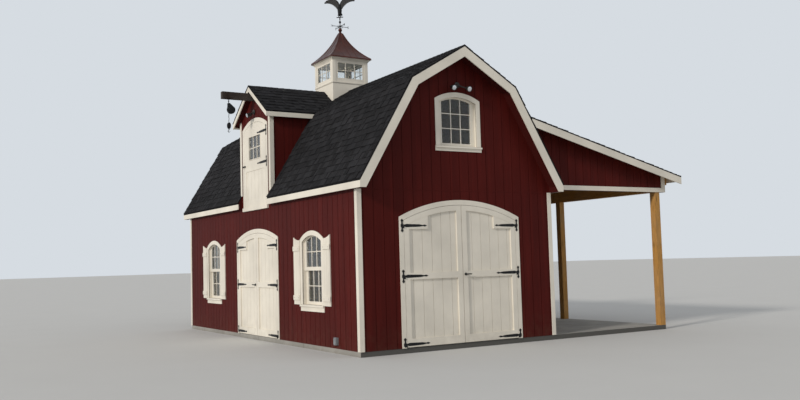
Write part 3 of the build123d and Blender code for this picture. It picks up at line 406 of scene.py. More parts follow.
def paint(
    name, tone, grain=UPRIGHT_GRAIN, streak=0.12, dirt=0.12, gloss=(0.42, 0.62), board=None, sheen=0.4
):
    """Paint on wood: faint grain along the boards, patches, a splash line near the ground."""
    finish = Finish(name, tone, **{"Specular IOR Level": sheen})
    lines = finish.noise(9.0, 6.0, grain, 0.6, 0.4)
    patches = finish.noise(1.1, 3.0)
    finish.ground(patches, 0.3, 0.7, 0.86, 1.08)
    finish.coat(lines, 0.45, 0.75, streak * 2, 0.62)
    if board:
        across = finish.stretched((1 / board, 1 / board, 0))
        snapped = finish.out("ShaderNodeVectorMath", {0: across}, operation="FLOOR")
        spots = finish.out("ShaderNodeTexWhiteNoise", {"Vector": snapped}, noise_dimensions="3D")
        runs = finish.noise(1.0, 4.0, (9, 9, 0.45), 0.6)
        finish.coat(spots, 0.0, 1.0, 0.42, 0.66)
        finish.coat(runs, 0.45, 0.72, 0.40, 0.58)
        finish.coat(runs, 0.30, 0.48, 0.0, 1.45, 0.30)
    worn = finish.noise(26.0, 8.0, (1, 1, 0.5), 0.7)
    finish.coat(worn, 0.66, 0.78, 0.22, (0.30, 0.25, 0.2))
    low = finish.remap(finish.axis("Z"), GROUND, GROUND + 0.55, 1.0, 0.0)
    splash = finish.times(low, finish.remap(finish.noise(7.0, 6.0), 0.35, 0.7))
    finish.lay(finish.times(splash, dirt), (0.15, 0.11, 0.075))
    finish.done((lines, *gloss), (patches, 0.0015), (lines, 0.0009), (worn, 0.0003))


def wood(name, tone, along, dark=0.55, weather=0.2):
    """Sawn wood with grain, pores, knots and checks along one axis."""

    def grained(lengthways, across):
        """Stretch along the grain and across it."""
        return [lengthways if axis == along else across for axis in "XYZ"]

    finish = Finish(name, tone, **{"Specular IOR Level": 0.2})
    rings = finish.noise(1.4, 3.0, grained(1.0, 14.0), 0.5, 1.6)
    bands = finish.maths("PINGPONG", finish.times(rings, 9.0), 1.0)
    pores = finish.noise(1.0, 8.0, grained(2.0, 90.0), 0.7)
    checks = finish.remap(finish.noise(1.0, 2.0, grained(0.9, 40.5), 0.5, 0.6), 0.70, 0.74)
    finish.ground(bands, 0.1, 0.95, 1.08, dark)
    finish.lay(0.45, 0.95)
    finish.coat(pores, 0.5, 0.75, 0.5, 0.42)
    finish.coat(finish.noise(1.7, 3.0), 0.4, 0.75, weather, (0.32, 0.30, 0.27))
    finish.coat(finish.cells(1.6, grained(0.9, 4.5)), 0.04, 0.13, 0.0, 0.22, 0.75)
    finish.lay(finish.times(checks, 0.8), 0.12)
    sound = finish.maths("SUBTRACT", 1.0, checks)
    finish.done((pores, 0.55, 0.8), (bands, 0.0010), (pores, 0.0012), (sound, 0.003))


def shingle_finish(name, tone):
    """Asphalt granules: each tab its own tone, speckles, faint streaks."""
    finish = Finish(name, tone, **{"Specular IOR Level": 0.08})
    tab = finish.out("ShaderNodeAttribute", which="Fac", attribute_name="tone")
    granules, brown = finish.cells(330.0), finish.noise(60.0, 2.0)
    finish.base = finish.mix(tab, 0.6, 1.5)
    finish.coat(granules, 0.1, 0.55, 0.0, 2.6, 0.40)
    finish.coat(brown, 0.55, 0.7, 0.3, (0.07, 0.05, 0.04))
    finish.coat(finish.noise(1.4, 4.0), 0.4, 0.7, 0.3, 0.5)
    finish.done((granules, 0.82, 0.97), (brown, 0.0012), (granules, 0.0016))


def iron_finish(name, tone):
    """Black powder-coated iron, hammered, a little rust at its thin spots."""
    finish = Finish(name, tone, Metallic=0.55)
    dents, spots = finish.cells(85.0, feature="SMOOTH_F1"), finish.noise(45.0, 6.0, roughness=0.7)
    finish.ground(finish.noise(9.0), 0.3, 0.7, 0.7, 1.7)
    finish.coat(spots, 0.64, 0.74, 0.55, (0.11, 0.045, 0.02))
    finish.done((spots, 0.36, 0.62), (dents, 0.0018), (spots, 0.0004))


def copper_finish(name, tone):
    """Brown weathered copper with run-off streaks and a hint of green."""
    finish = Finish(name, tone, Metallic=0.85)
    clouds = finish.noise(5.0, 6.0, roughness=0.6)
    finish.ground(clouds, 0.3, 0.7, 0.6, 1.2)
    finish.coat(finish.noise(8.0, 5.0, (4, 4, 0.5), 0.6), 0.45, 0.75, 0.6, 0.38)
    finish.coat(finish.noise(22.0, 4.0), 0.62, 0.78, 0.3, (0.10, 0.20, 0.16))
    finish.done((clouds, 0.30, 0.52), (finish.noise(3.0, 2.0), 0.004), (clouds, 0.0008))


def concrete_finish(name, tone):
    """Broom-finished concrete: cloudy, speckled, stained, with pores and saw cuts."""
    finish = Finish(name, tone)
    clouds, sand = finish.noise(1.6, 6.0, roughness=0.6), finish.noise(160.0, 4.0, roughness=0.8)
    broom = finish.noise(1.0, 4.0, (3.0, 150.0, 3.0), 0.6)
    pores = finish.remap(finish.cells(55.0), 0.05, 0.16)
    sawn = finish.remap(finish.maths("PINGPONG", finish.axis("Y"), HALF_LENGTH / 4), 0.002, 0.005)
    finish.ground(clouds, 0.3, 0.7, 0.72, 1.12)
    finish.coat(sand, 0.4, 0.65, 0.35, 0.55)
    finish.coat(finish.noise(3.1, 5.0), 0.55, 0.75, 0.4, (0.17, 0.13, 0.10))
    # Darker towards the bottom of the slab's edge: a smooth brown gradient rising from the floor
    finish.coat(finish.axis("Z"), 0.0, GROUND * 0.8, 0.0, (0.10, 0.08, 0.06), 0.25)
    finish.base = finish.mix(sawn, 0.25, finish.base)
    relief = (clouds, 0.003), (sawn, 0.006), (broom, 0.0018), (sand, 0.0010), (pores, 0.0015)
    finish.done((sand, 0.78, 0.95), *relief)


def glass_finish(name, tone):
    """Clear window glass with a little dust and a slight wave."""
    finish = Finish(name, tone, **{"Transmission Weight": 0.98, "IOR": 1.32, "Specular IOR Level": 0.5})
    dust = finish.noise(4.0, 6.0, roughness=0.65)
    finish.coat(dust, 0.45, 0.8, 0.4, 0.75)
    finish.done((dust, 0.0, 0.03), (finish.noise(2.2, 1.0), 0.0008))


def lens_finish(name, tone):
    """A flood lamp's silvery lens, pressed in small ribs."""
    finish = Finish(name, tone, **{"Metallic": 0.75, "Coat Weight": 0.6, "Coat Roughness": 0.05})
    ribs = finish.cells(70.0)
    finish.ground(ribs, 0.0, 0.6, 0.7, 1.1)
    finish.done((ribs, 0.10, 0.26), (ribs, 0.0015))


def plastic_finish(name, tone):
    """Moulded grey plastic with fine texture."""
    finish = Finish(name, tone)
    chalk = finish.noise(14.0, 5.0)
    finish.ground(chalk, 0.35, 0.7, 0.85, 1.12)
    finish.done((chalk, 0.42, 0.6), (finish.noise(420.0, 3.0), 0.0002))


def layered_finish(name, outside, inside, trim, inner, reveal=None):
    """Barn paint outside, white paint within one half size, bare flaky board within a smaller one."""
    finish = Finish(name, outside, **{"Specular IOR Level": 0.15})
    grain = finish.noise(9.0, 6.0, UPRIGHT_GRAIN, 0.6, 0.4)
    finish.ground(grain, 0.3, 0.7, 0.5, 0.8)
    if reveal:
        white = finish.mix(finish.remap(grain, 0.3, 0.75), shade(trim, 1.05), shade(trim, 0.85))
        finish.lay(finish.within(*reveal), white)
    flakes, fibre = finish.cells(18.0, (1, 1, 2.4)), finish.noise(30.0, 6.0, (1, 1, 5), 0.7)
    board = finish.mix(finish.remap(flakes, 0.0, 0.6), shade(inside, 0.72), shade(inside, 1.1))
    board = finish.mix(finish.remap(fibre, 0.5, 0.75, 0.0, 0.5), board, shade(inside, 0.5))
    finish.lay(finish.within(*inner), board)
    finish.done((fibre, 0.6, 0.85), (grain, 0.0008), (fibre, 0.0006))


def make_finishes(colours):
    """All the materials, by the names that pieces ask for."""
    white = {"tone": colours.trim, "streak": 0.06}
    paint("siding_paint", colours.siding, board=0.203, gloss=(0.5, 0.72), sheen=0.09)
    paint("trim_paint", **white)
    paint("rail_paint", grain=LEVEL_GRAIN, **white)
    paint("door_paint", colours.trim, streak=0.05, dirt=0.16)
    tones = colours.siding, colours.plywood, colours.trim
    room = HALF_WIDTH - WALL + WALL_MARGIN
    shell = HALF_WIDTH - REVEAL_MARGIN
    dormer = room, DORMER_HALF - WALL_MARGIN
    room_box = room, HALF_LENGTH - WALL + WALL_MARGIN
    layered_finish("wall_paint", *tones, room_box, (shell, HALF_LENGTH - REVEAL_MARGIN))
    layered_finish("dormer_paint", *tones, dormer, (shell, DORMER_HALF - 0.1))
    layered_finish("roof_boards", *tones, (HALF_WIDTH - 0.02, HALF_LENGTH - 0.02))
    layered_finish("dormer_boards", *tones, dormer)
    shingle_finish("asphalt", colours.shingle)
    iron_finish("black_iron", colours.iron)
    copper_finish("weathered_copper", colours.copper)
    concrete_finish("broomed_concrete", colours.concrete)
    glass_finish("window_glass", colours.glass)
    plastic_finish("grey_plastic", colours.box)
    plastic_finish("lamp_enamel", colours.bronze)
    lens_finish("lamp_lens", colours.lens)
    wood("post_pine", colours.lumber, "Z")
    wood("beam_pine", colours.lumber, "Y")
    wood("rafter_pine", colours.lumber, "X", weather=0.1)
    wood("deck_board", colours.plywood, "Y", weather=0.1)
    wood("hoist_timber", colours.timber, "X", dark=0.5, weather=0.25)


NODE_FINISHES = {
    "wall_paint": "front_wall_left front_wall_right front_wall_over_door rear_wall front_gable rear_gable "
    "left_wall_front left_wall_rear left_wall_over_door right_wall",
    "siding_paint": "porch_end_walls",
    "dormer_paint": "dormer_walls",
    "roof_boards": "roof_lower_panels roof_upper_panels",
    "dormer_boards": "dormer_roof",
    "trim_paint": "corner_boards door_casings window_casings window_frames shutters dormer_trim "
    "loft_door_casing cupola_base cupola_lantern cupola_cornice",
    "rail_paint": "fascia_boards rake_boards porch_trim",
    "door_paint": "front_door_left_leaf front_door_right_leaf side_door_left_leaf side_door_right_leaf "
    "loft_door_leaf",
    "asphalt": "main_shingles porch_shingles dormer_shingles",
    "black_iron": "door_hinge_plates front_door_left_hardware front_door_right_hardware "
    "side_door_left_hardware side_door_right_hardware loft_door_hardware hoist_tackle vane_mast vane_eagle",
    "weathered_copper": "cupola_roof",
    "broomed_concrete": "slabs",
    "window_glass": "window_glass",
    "grey_plastic": "outlet_box",
    "lamp_enamel": "flood_lights",
    "post_pine": "porch_posts",
    "beam_pine": "porch_beam",
    "rafter_pine": "porch_rafters loft_joists",
    "deck_board": "loft_deck porch_roof_deck",
    "hoist_timber": "hoist_beam",
}


# Shapes
class Shape:
    """Solid pieces gathered in one mesh, each set at the shape's place at the time."""

    def __init__(self, place=None):
        self.mesh = bmesh.new()
        self.place = place or Matrix.Identity(4)

    def _settle(self, points, turn=None, bevel=0.0):
        if bevel:
            edges = {edge for point in points for edge in point.link_edges}
            sharp = [edge for edge in edges if edge.calc_face_angle(0.0) > 0.6]
            made = bmesh.ops.bevel(
                self.mesh, geom=sharp, offset=bevel, segments=1, profile=0.5, affect="EDGES",
                clamp_overlap=True,
            )
            points = set(made["verts"]) | {point for point in points if point.is_valid}
        matrix = self.place @ turn if turn else self.place
        bmesh.ops.transform(self.mesh, matrix=matrix, verts=list(points))

    def ring(self, points):
        """New corners."""
        return [self.mesh.verts.new(point) for point in points]

    def _skin(self, rings, turn=None, bevel=0.0):
        """Faces between closed rings of corners; a ring of one corner is a tip."""
        faces = []
        for lower, upper in zip(rings, rings[1:]):
            count = max(len(lower), len(upper))
            for n in range(count):
                after = (n + 1) % count
                corners = [lower[n % len(lower)], lower[after % len(lower)]]
                corners += [upper[after % len(upper)], upper[n % len(upper)]]
                faces.append(self.mesh.faces.new(list(dict.fromkeys(corners))))
        faces += [self.mesh.faces.new(ring) for ring in (rings[0], rings[-1]) if len(ring) > 1]
        bmesh.ops.recalc_face_normals(self.mesh, faces=faces)
        self._settle([point for ring in rings for point in ring], turn, bevel)

    def block(self, low, high, bevel=0.0):
        """A box between two corners."""
        low, high = Vector(low), Vector(high)
        middle = Matrix.Translation((low + high) / 2) @ Matrix.Diagonal((*(high - low), 1.0))
        self._settle(bmesh.ops.create_cube(self.mesh, size=1.0, matrix=middle)["verts"], None, bevel)

    def blocks(self, *rows):
        """Boxes in millimetres, each from its reach along X, along Y and along Z, and a bevel."""
        for x1, x2, y1, y2, z1, z2, bevel in mm(*rows):
            self.block((x1, y1, z1), (x2, y2, z2), bevel)

    def prism(self, outline, near, far, bevel=0.0, turn=None):
        """An outline of (x, z) points between two depths along Y."""
        self._skin([self.ring((x, y, z) for x, z in outline) for y in (near, far)], turn, bevel)

    def swept(self, section):
        """A section of (depth, height) points run along the cupola's face, mitred at both ends."""
        ends = [[(side * -depth, depth, height) for depth, height in section] for side in SIDES]
        self._skin([self.ring(end) for end in ends])

    def lathe(self, profile, sides=16, turn=None):
        """A profile of (radius, height) points turned about Z."""
        rings = []
        for radius, height in profile:
            around = [(radius * c, radius * s, height) for c, s in circle(sides)]
            rings.append(self.ring(around if radius > 1e-6 else [(0, 0, height)]))
        self._skin(rings, turn)

    def tube(self, path, radius, sides=8, turn=None):
        """A round bar along points; radius may be one number or one for each point."""
        path = [Vector(point) for point in path]
        radii = [radius] * len(path) if isinstance(radius, (int, float)) else radius
        rings, side = [], None
        for n, point in enumerate(path):
            ahead = (path[min(n + 1, len(path) - 1)] - path[max(n - 1, 0)]).normalized()
            side = ahead.orthogonal() if side is None else side - ahead * side.dot(ahead)
            side.normalize()
            up = ahead.cross(side)
            rings.append(self.ring(point + (side * c + up * s) * radii[n] for c, s in circle(sides)))
        self._skin(rings, turn)

    def limb(self, sides, *rows):
        """A round bar along points in millimetres, each given with its own radius."""
        rows = mm(*rows)
        self.tube([row[:3] for row in rows], [row[3] for row in rows], sides)

    def bar(self, start, end, y, z, radius, tip, taper=2):
        """A round bar along X, in millimetres, drawn in to a smaller radius over its last few."""
        reaches = (start, tip), (start + taper, radius), (end - taper, radius), (end, tip)
        self.limb(12, *[(x, y, z, around) for x, around in reaches])

    def ball(self, middle, radius, sides=16):
        """A round ball."""
        rows = sides // 2
        tilts = [math.pi * n / rows - QUARTER for n in range(1, rows)]
        profile = [(radius * math.cos(tilt), radius * math.sin(tilt)) for tilt in tilts]
        self.lathe([(0, -radius), *profile, (0, radius)], sides, Matrix.Translation(middle))

    def piece(self, name, finish, body=BUILDING):
        """End the gathering as one piece."""
        return gathered_piece(name, self.mesh, finish, body)


def circle(count, first=0.0, step=None):
    """Cosine and sine at even steps, once round unless a step in radians is given."""
    step = 2 * math.pi / count if step is None else step
    return [(math.cos(first + step * n), math.sin(first + step * n)) for n in range(count)]


def aimed(start, end):
    """A frame at one point whose Z looks at another."""
    turn = (Vector(end) - Vector(start)).to_track_quat("Z", "Y")
    return Matrix.Translation(start) @ turn.to_matrix().to_4x4()


def bowed(first, middle, last, count):
    """Points along the circle through three points in a plane."""
    (x1, z1), (x2, z2), (x3, z3) = first, middle, last
    across = 2 * (x1 * (z2 - z3) + x2 * (z3 - z1) + x3 * (z1 - z2))
    sums = [x * x + z * z for x, z in (first, middle, last)]
    cx = (sums[0] * (z2 - z3) + sums[1] * (z3 - z1) + sums[2] * (z1 - z2)) / across
    cz = (sums[0] * (x3 - x2) + sums[1] * (x1 - x3) + sums[2] * (x2 - x1)) / across
    radius = math.hypot(x1 - cx, z1 - cz)
    begin, end = [math.atan2(z - cz, x - cx) for x, z in (first, last)]
    while end < begin - math.pi:
        end += 2 * math.pi
    while end > begin + math.pi:
        end -= 2 * math.pi
    step = (end - begin) / (count - 1)
    return [(cx + radius * c, cz + radius * s) for c, s in circle(count, begin, step)]


def add_piece(name, mesh, finish, body=BUILDING):
    """A mesh as a piece that rides on a body."""
    mesh.name = name
    mesh.materials.clear()
    mesh.materials.append(Finish.made[finish])
    thing = bpy.data.objects.new(name, mesh)
    bpy.context.scene.collection.objects.link(thing)
    if finish in SMOOTH:
        mesh.shade_smooth()
        mesh.set_sharp_from_angle(angle=math.radians(40))
    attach(thing, body)
    return thing


def gathered_piece(name, gathered, finish, body=BUILDING):
    """A gathered mesh as one piece."""
    mesh = bpy.data.meshes.new(name)
    gathered.to_mesh(mesh)
    gathered.free()
    return add_piece(name, mesh, finish, body)


def merged_faces(names, wanted):
    """The faces of CAD nodes that pass a test, merged into polygons."""
    gathered = bmesh.new()
    for name in names.split():
        gathered.from_mesh(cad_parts[name].data)
    bmesh.ops.remove_doubles(gathered, verts=gathered.verts, dist=1e-5)
    unwanted = [face for face in gathered.faces if not wanted(face)]
    bmesh.ops.delete(gathered, geom=unwanted, context="FACES")
    flat = math.radians(1)
    bmesh.ops.dissolve_limit(gathered, angle_limit=flat, verts=gathered.verts, edges=gathered.edges)
    return gathered


def node_faces(names, way, level):
    """The faces of CAD nodes that look one way, at one level along it."""
    way = Vector(way)

    def wanted(face):
        """Whether a face looks that way at that level."""
        return face.normal.dot(way) >= 0.999 and abs(face.calc_center_median().dot(way) - level) <= 0.002

    faces = merged_faces(names, wanted)
    if not faces.faces:
        raise RuntimeError("no faces at this level: " + names)
    return faces


def along_face(way):
    """The level direction along a wall that looks one way."""
    return Vector((0, 1, 0)) if abs(way[0]) > 0.5 else Vector((1, 0, 0))


def everything(gathered):
    """All of a gathered mesh's elements."""
    return list(gathered.verts) + list(gathered.edges) + list(gathered.faces)


def grooved(gathered, way, spacing, groove, depth, start=0.0, sunk=0.001):
    """Flat faces cut into boards at even grooves and given thickness outwards."""
    way, step = Vector(way), along_face(way)
    reach = [point.co.dot(step) for point in gathered.verts]
    first = math.ceil((min(reach) - start - groove) / spacing)
    last = math.floor((max(reach) - start + groove) / spacing)
    for n in range(first, last + 1):
        centre = start + n * spacing
        for edge in (centre - groove / 2, centre + groove / 2):
            bmesh.ops.bisect_plane(gathered, geom=everything(gathered), plane_co=step * edge, plane_no=step)
        middles = [(face, face.calc_center_median().dot(step)) for face in gathered.faces]
        inside = [face for face, middle in middles if abs(middle - centre) < groove / 2]
        bmesh.ops.delete(gathered, geom=inside, context="FACES")
    bmesh.ops.translate(gathered, verts=gathered.verts, vec=-way * sunk)
    made = bmesh.ops.extrude_face_region(gathered, geom=list(gathered.faces), use_keep_orig=True)
    raised = [item for item in made["geom"] if isinstance(item, bmesh.types.BMVert)]
    bmesh.ops.translate(gathered, verts=raised, vec=way * (depth + sunk))
    bmesh.ops.recalc_face_normals(gathered, faces=gathered.faces)
    return gathered


def repeat_tree():
    """Set a copy of one piece on every point, turned by the point's own angles."""
    nodes, given = tree_with(
        "Repeat on points", [("Source", "Object", None), ("Material", "Material", None), ("Seed", "Int", 3)]
    )
    source = nodes.out("GeometryNodeObjectInfo", {"Object": given["Source"]}, "Geometry")
    turn = nodes.out("GeometryNodeInputNamedAttribute", {"Name": "turn"}, data_type="FLOAT_VECTOR")
    values = {"Points": given["Geometry"], "Instance": source, "Rotation": turn}
    placed = nodes.out("GeometryNodeInstanceOnPoints", values)
    tone = nodes.out("FunctionNodeRandomValue", {"Seed": given["Seed"]}, 1, data_type="FLOAT")
    close_tree(nodes, toned(nodes, placed, tone), given["Material"])


def repeated(name, shape, places, finish, body=BUILDING):
    """One small shape set at many places, as one piece."""
    source_mesh = bpy.data.meshes.new("source")
    shape.mesh.to_mesh(source_mesh)
    shape.mesh.free()
    source = bpy.data.objects.new("source", source_mesh)
    bpy.context.scene.collection.objects.link(source)
    points = bpy.data.meshes.new("points")
    points.from_pydata([place.to_translation() for place in places], [], [])
    turns = points.attributes.new("turn", "FLOAT_VECTOR", "POINT")
    turns.data.foreach_set("vector", [turn for place in places for turn in place.to_euler()])
    if "Repeat on points" not in bpy.data.node_groups:
        repeat_tree()
    tree = bpy.data.node_groups["Repeat on points"]
    made = grown(points, tree, {"Source": source, "Material": Finish.made[finish]})
    bpy.data.objects.remove(source)
    return add_piece(name, made, finish, body)


# Roof coverings
def slopes(node):
    """The wide sloping top faces of a roof node, as corners and a normal for each slope."""
    gathered = merged_faces(node, lambda face: face.normal.z >= 0.2)
    wide = [face for face in gathered.faces if face.calc_area() > 1.0]
    found = [([point.co.copy() for point in face.verts], face.normal.copy()) for face in wide]
    gathered.free()
    return found


def courses_tree():
    """Shingle courses on a flat rectangle: a base strip for each course and loose tabs on it."""
    inputs = [
        ("Length", "Float", 1.0),
        ("Height", "Float", 1.0),
        ("Exposure", "Float", 0.142),
        ("Tab width", "Float", 0.236),
        ("Thickness", "Float", 0.006),
        ("Seed", "Int", 1),
        ("Material", "Material", None),
    ]
    nodes, given = tree_with("Shingle courses", inputs)
    exposure, tab, thickness = given["Exposure"], given["Tab width"], given["Thickness"]
    times, vector = nodes.times, nodes.vector

    def count(size, step, spare):
        """How many steps cover a size, with some to spare."""
        return nodes.maths("ADD", nodes.maths("CEIL", nodes.maths("DIVIDE", size, step)), spare)

    def span(number, step):
        """The length of a number of points, a step apart."""
        return times(nodes.maths("SUBTRACT", number, 1.0), step)

    rows, columns = count(given["Height"], exposure, 1.0), count(given["Length"], tab, 2.0)
    deep = times(exposure, 1.45)
    lean = nodes.maths("DIVIDE", times(thickness, -1.5), exposure)

    def laid(points, wide, lift, seed, narrowest, widest):
        """Leaning boards on points, each its own width, thickness and tone."""
        board = nodes.out("GeometryNodeMeshCube", {"Size": vector(wide, deep, thickness)})
        offset = vector(0.0, times(deep, 0.5), lift)
        moved = nodes.out("GeometryNodeTransform", {"Geometry": board, "Translation": offset})
        values = {"Min": (narrowest, 1.0, 0.7), "Max": (widest, 1.0, 1.25), "Seed": seed}
        spread = nodes.out("FunctionNodeRandomValue", values, data_type="FLOAT_VECTOR")
        values = {"Points": points, "Instance": moved, "Rotation": vector(lean, 0.0, 0.0), "Scale": spread}
        copies = nodes.out("GeometryNodeInstanceOnPoints", values)
        tone = nodes.out("FunctionNodeRandomValue", {"Seed": seed}, 1, data_type="FLOAT")
        return toned(nodes, copies, tone)

    start = vector(times(given["Length"], 0.5), 0.0, 0.0)
    values = {"Count": rows, "Start Location": start, "Offset": vector(0.0, exposure, 0.0)}
    line = nodes.out("GeometryNodeMeshLine", values)
    strips = laid(line, given["Length"], thickness, given["Seed"], 1.0, 1.0)

    across, up = span(columns, tab), span(rows, exposure)
    values = {"Size X": across, "Size Y": up, "Vertices X": columns, "Vertices Y": rows}
    grid = nodes.out("GeometryNodeMeshGrid", values)
    height = nodes.out("ShaderNodeSeparateXYZ", {0: nodes.out("GeometryNodeInputPosition")}, "Y")
    row = nodes.maths("DIVIDE", nodes.maths("ADD", height, times(up, 0.5)), exposure)
    stagger = times(nodes.maths("FRACT", times(row, 0.381)), tab)
    values = {"Min": -0.3, "Max": 0.3, "Seed": given["Seed"]}
    jitter = times(nodes.out("FunctionNodeRandomValue", values, 1, data_type="FLOAT"), tab)
    aside = nodes.maths("ADD", nodes.maths("ADD", stagger, jitter), times(across, 0.5))
    values = {"Geometry": grid, "Offset": vector(aside, times(up, 0.5), 0.0)}
    spots = nodes.out("GeometryNodeSetPosition", values)
    tabs = laid(spots, tab, times(thickness, 1.8), nodes.maths("ADD", given["Seed"], 7), 0.45, 0.95)
    joined = nodes.add("GeometryNodeJoinGeometry")
    for part in (strips, tabs):
        nodes.tree.links.new(part, joined.inputs[0])
    close_tree(nodes, joined.outputs[0], given["Material"])


def trimmed(gathered, corners, normal, reach):
    """Cut a mesh back to an outline's outer edges on its slope, and close the cut faces."""
    middle = sum(corners, Vector()) / len(corners)
    for here, after in zip(corners, corners[1:] + corners[:1]):
        outward = (after - here).cross(normal).normalized()
        if outward.dot(here - middle) < 0:
            outward = -outward
        if max((corner - here).dot(outward) for corner in corners) > 0.02:
            continue
        line = here + outward * reach
        bmesh.ops.bisect_plane(
            gathered, geom=everything(gathered), plane_co=line, plane_no=outward, clear_outer=True
        )
        bmesh.ops.holes_fill(gathered, edges=[edge for edge in gathered.edges if edge.is_boundary], sides=0)


def cover_slope(corners, normal, sizes, seed, reach=0.006):
    """Shingle courses over one slope, from its lowest edge up."""
    up = (Vector((0, 0, 1)) - normal * normal.z).normalized()
    along = up.cross(normal).normalized()
    across = [corner.dot(along) for corner in corners]
    rise = [corner.dot(up) for corner in corners]
    origin = along * (min(across) - sizes.tab_width) + up * (min(rise) - reach)
    values = {
        "Length": max(across) - min(across) + 2 * sizes.tab_width,
        "Height": max(rise) - min(rise) + reach,
        "Exposure": sizes.exposure,
        "Tab width": sizes.tab_width,
        "Thickness": sizes.tab_thickness,
        "Seed": seed,
        "Material": Finish.made["asphalt"],
    }
    if "Shingle courses" not in bpy.data.node_groups:
        courses_tree()
    made = grown(bpy.data.meshes.new("slope"), bpy.data.node_groups["Shingle courses"], values)
    matrix = Matrix((along, up, normal)).transposed().to_4x4()
    matrix.translation = origin + normal * corners[0].dot(normal)
    made.transform(matrix)
    gathered = bmesh.new()
    gathered.from_mesh(made)
    trimmed(gathered, corners, normal, reach)
    return gathered


def joined_mesh(parts):
    """Several gathered meshes as one."""
    whole = bmesh.new()
    for part in parts:
        mesh = bpy.data.meshes.new("part")
        part.to_mesh(mesh)
        part.free()
        whole.from_mesh(mesh)
        bpy.data.meshes.remove(mesh)
    return whole


# Operators
TO_FRONT, TO_REAR, TO_LEFT, TO_RIGHT = (0, -1, 0), (0, 1, 0), (-1, 0, 0), (1, 0, 0)
LEAVES = ((-1, "left"), (1, "right"))
DOUBLE_DOORS = (("front", TO_FRONT, HALF_LENGTH, 1), ("side", TO_LEFT, HALF_WIDTH, -1))


class SHED_OT_finishes(bpy.types.Operator):
    """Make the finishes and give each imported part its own"""

    bl_idname = "shed.finishes"
    bl_label = "Finishes"

    def execute(self, context):
        make_finishes(context.scene.shed_colours)
        for finish, names in NODE_FINISHES.items():
            for name in names.split():
                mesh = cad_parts[name].data
                mesh.materials.clear()
                mesh.materials.append(Finish.made[finish])
        return {"FINISHED"}


class SHED_OT_siding(bpy.types.Operator):
    """Cut grooved siding for every wall, the dormer and the porch ends"""

    bl_idname = "shed.siding"
    bl_label = "Siding"

    def execute(self, context):
        sizes = context.scene.shed_sizes
        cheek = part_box("dormer_walls")[1].y
        left_walls = "left_wall_front left_wall_rear left_wall_over_door front_wall_left rear_wall"
        front_walls = "front_wall_left front_wall_right front_wall_over_door"
        walls = {
            "front": (front_walls, TO_FRONT, HALF_LENGTH),
            "front_gable": ("front_gable", TO_FRONT, HALF_LENGTH),
            "rear": ("rear_wall", TO_REAR, HALF_LENGTH),
            "rear_gable": ("rear_gable", TO_REAR, HALF_LENGTH),
            "left": (left_walls, TO_LEFT, HALF_WIDTH),
            "right": ("right_wall front_wall_right rear_wall", TO_RIGHT, HALF_WIDTH),
            "dormer_front": ("dormer_walls", TO_LEFT, HALF_WIDTH),
            "dormer_cheek_front": ("dormer_walls", TO_FRONT, cheek),
            "dormer_cheek_rear": ("dormer_walls", TO_REAR, cheek),
            "porch_front": ("porch_end_walls", TO_FRONT, HALF_LENGTH),
            "porch_rear": ("porch_end_walls", TO_REAR, HALF_LENGTH),
        }
        for name, (nodes, way, level) in walls.items():
            faces = node_faces(nodes, way, level)
            boards = grooved(faces, way, sizes.groove_spacing, sizes.groove_width, sizes.siding_depth)
            gathered_piece("siding_" + name, boards, "siding_paint")
        seams = Shape()
        half = HALF_WIDTH - 0.002
        for place in (FRONT, REAR):
            seams.place = place
            seams.block((-half, -0.0105, SOFFIT - 0.011), (half, -0.001, SOFFIT + 0.009), 0.002)
        seams.piece("siding_seams", "siding_paint")
        return {"FINISHED"}


class SHED_OT_shingles(bpy.types.Operator):
    """Lay shingle courses on every roof slope"""

    bl_idname = "shed.shingles"
    bl_label = "Shingles"

    def execute(self, context):
        sizes = context.scene.shed_sizes
        for seed, roof in enumerate(("main", "porch", "dormer")):
            parts = [
                cover_slope(corners, normal, sizes, 11 * seed + n)
                for n, (corners, normal) in enumerate(slopes(roof + "_shingles"))
            ]
            gathered_piece("shingles_" + roof, joined_mesh(parts), "asphalt")
        return {"FINISHED"}


class SHED_OT_ridge_caps(bpy.types.Operator):
    """Bend cap shingles over the ridges of the roof and the dormer"""

    bl_idname = "shed.ridge_caps"
    bl_label = "Ridge caps"

    def execute(self, context):
        step, thick = context.scene.shed_sizes.exposure, context.scene.shed_sizes.tab_thickness
        for name, slope, start, end, turn in (
            ("main", MAIN_SLOPE, -RAKE_Y, RAKE_Y, 0.0),
            ("dormer", DORMER_SLOPE, CUPOLA_HALF, DORMER_FRONT, QUARTER),
        ):
            drop = CAP_REACH * slope
            bend = [(-CAP_REACH, -drop), (0, 0), (CAP_REACH, -drop)]
            cap = Shape()
            cap.prism(bend + [(x, z - thick) for x, z in reversed(bend)], 0, step * 1.4)
            rows = [start + n * step for n in range(int((end - start) / step))]
            rows = [y for y in rows if not -CUPOLA_HALF - step < y < CUPOLA_HALF]
            places = [turned(turn) @ at(0, y, RIDGE + CAP_LIFT) @ turned(CAP_LEAN, "X") for y in rows]
            repeated("ridge_caps_" + name, cap, places, "asphalt")
        return {"FINISHED"}


# Lights as half width, foot, head, rows of panes and how deep their bars' face lies
LOWER_SASH = (0.324, 0.795, 1.375, 2, 0.072)
UPPER_SASH = (0.324, 1.445, 2.011, 2, 0.040)
GABLE_LIGHT = (0.320, 3.629, 4.454, 3, 0.060)
LOFT_LIGHT = (0.325, 3.805, 4.295, 2, -0.010)
CUPOLA_LIGHT = (0.340, 5.629, 6.030, 2, 0.004)
CUPOLA_FRAME = (0.312, 5.657, 6.002)


def framed(bars, half, low, high, width, front, depth):
    """Four boards round a light."""
    bevel, back = width / 8, front + depth
    for z in (low - width, high):
        bars.block((-half - width, front, z), (half + width, back, z + width), bevel)
    for x in (-half - width, half):
        bars.block((x, front, low + 0.001), (x + width, back, high - 0.001), bevel)


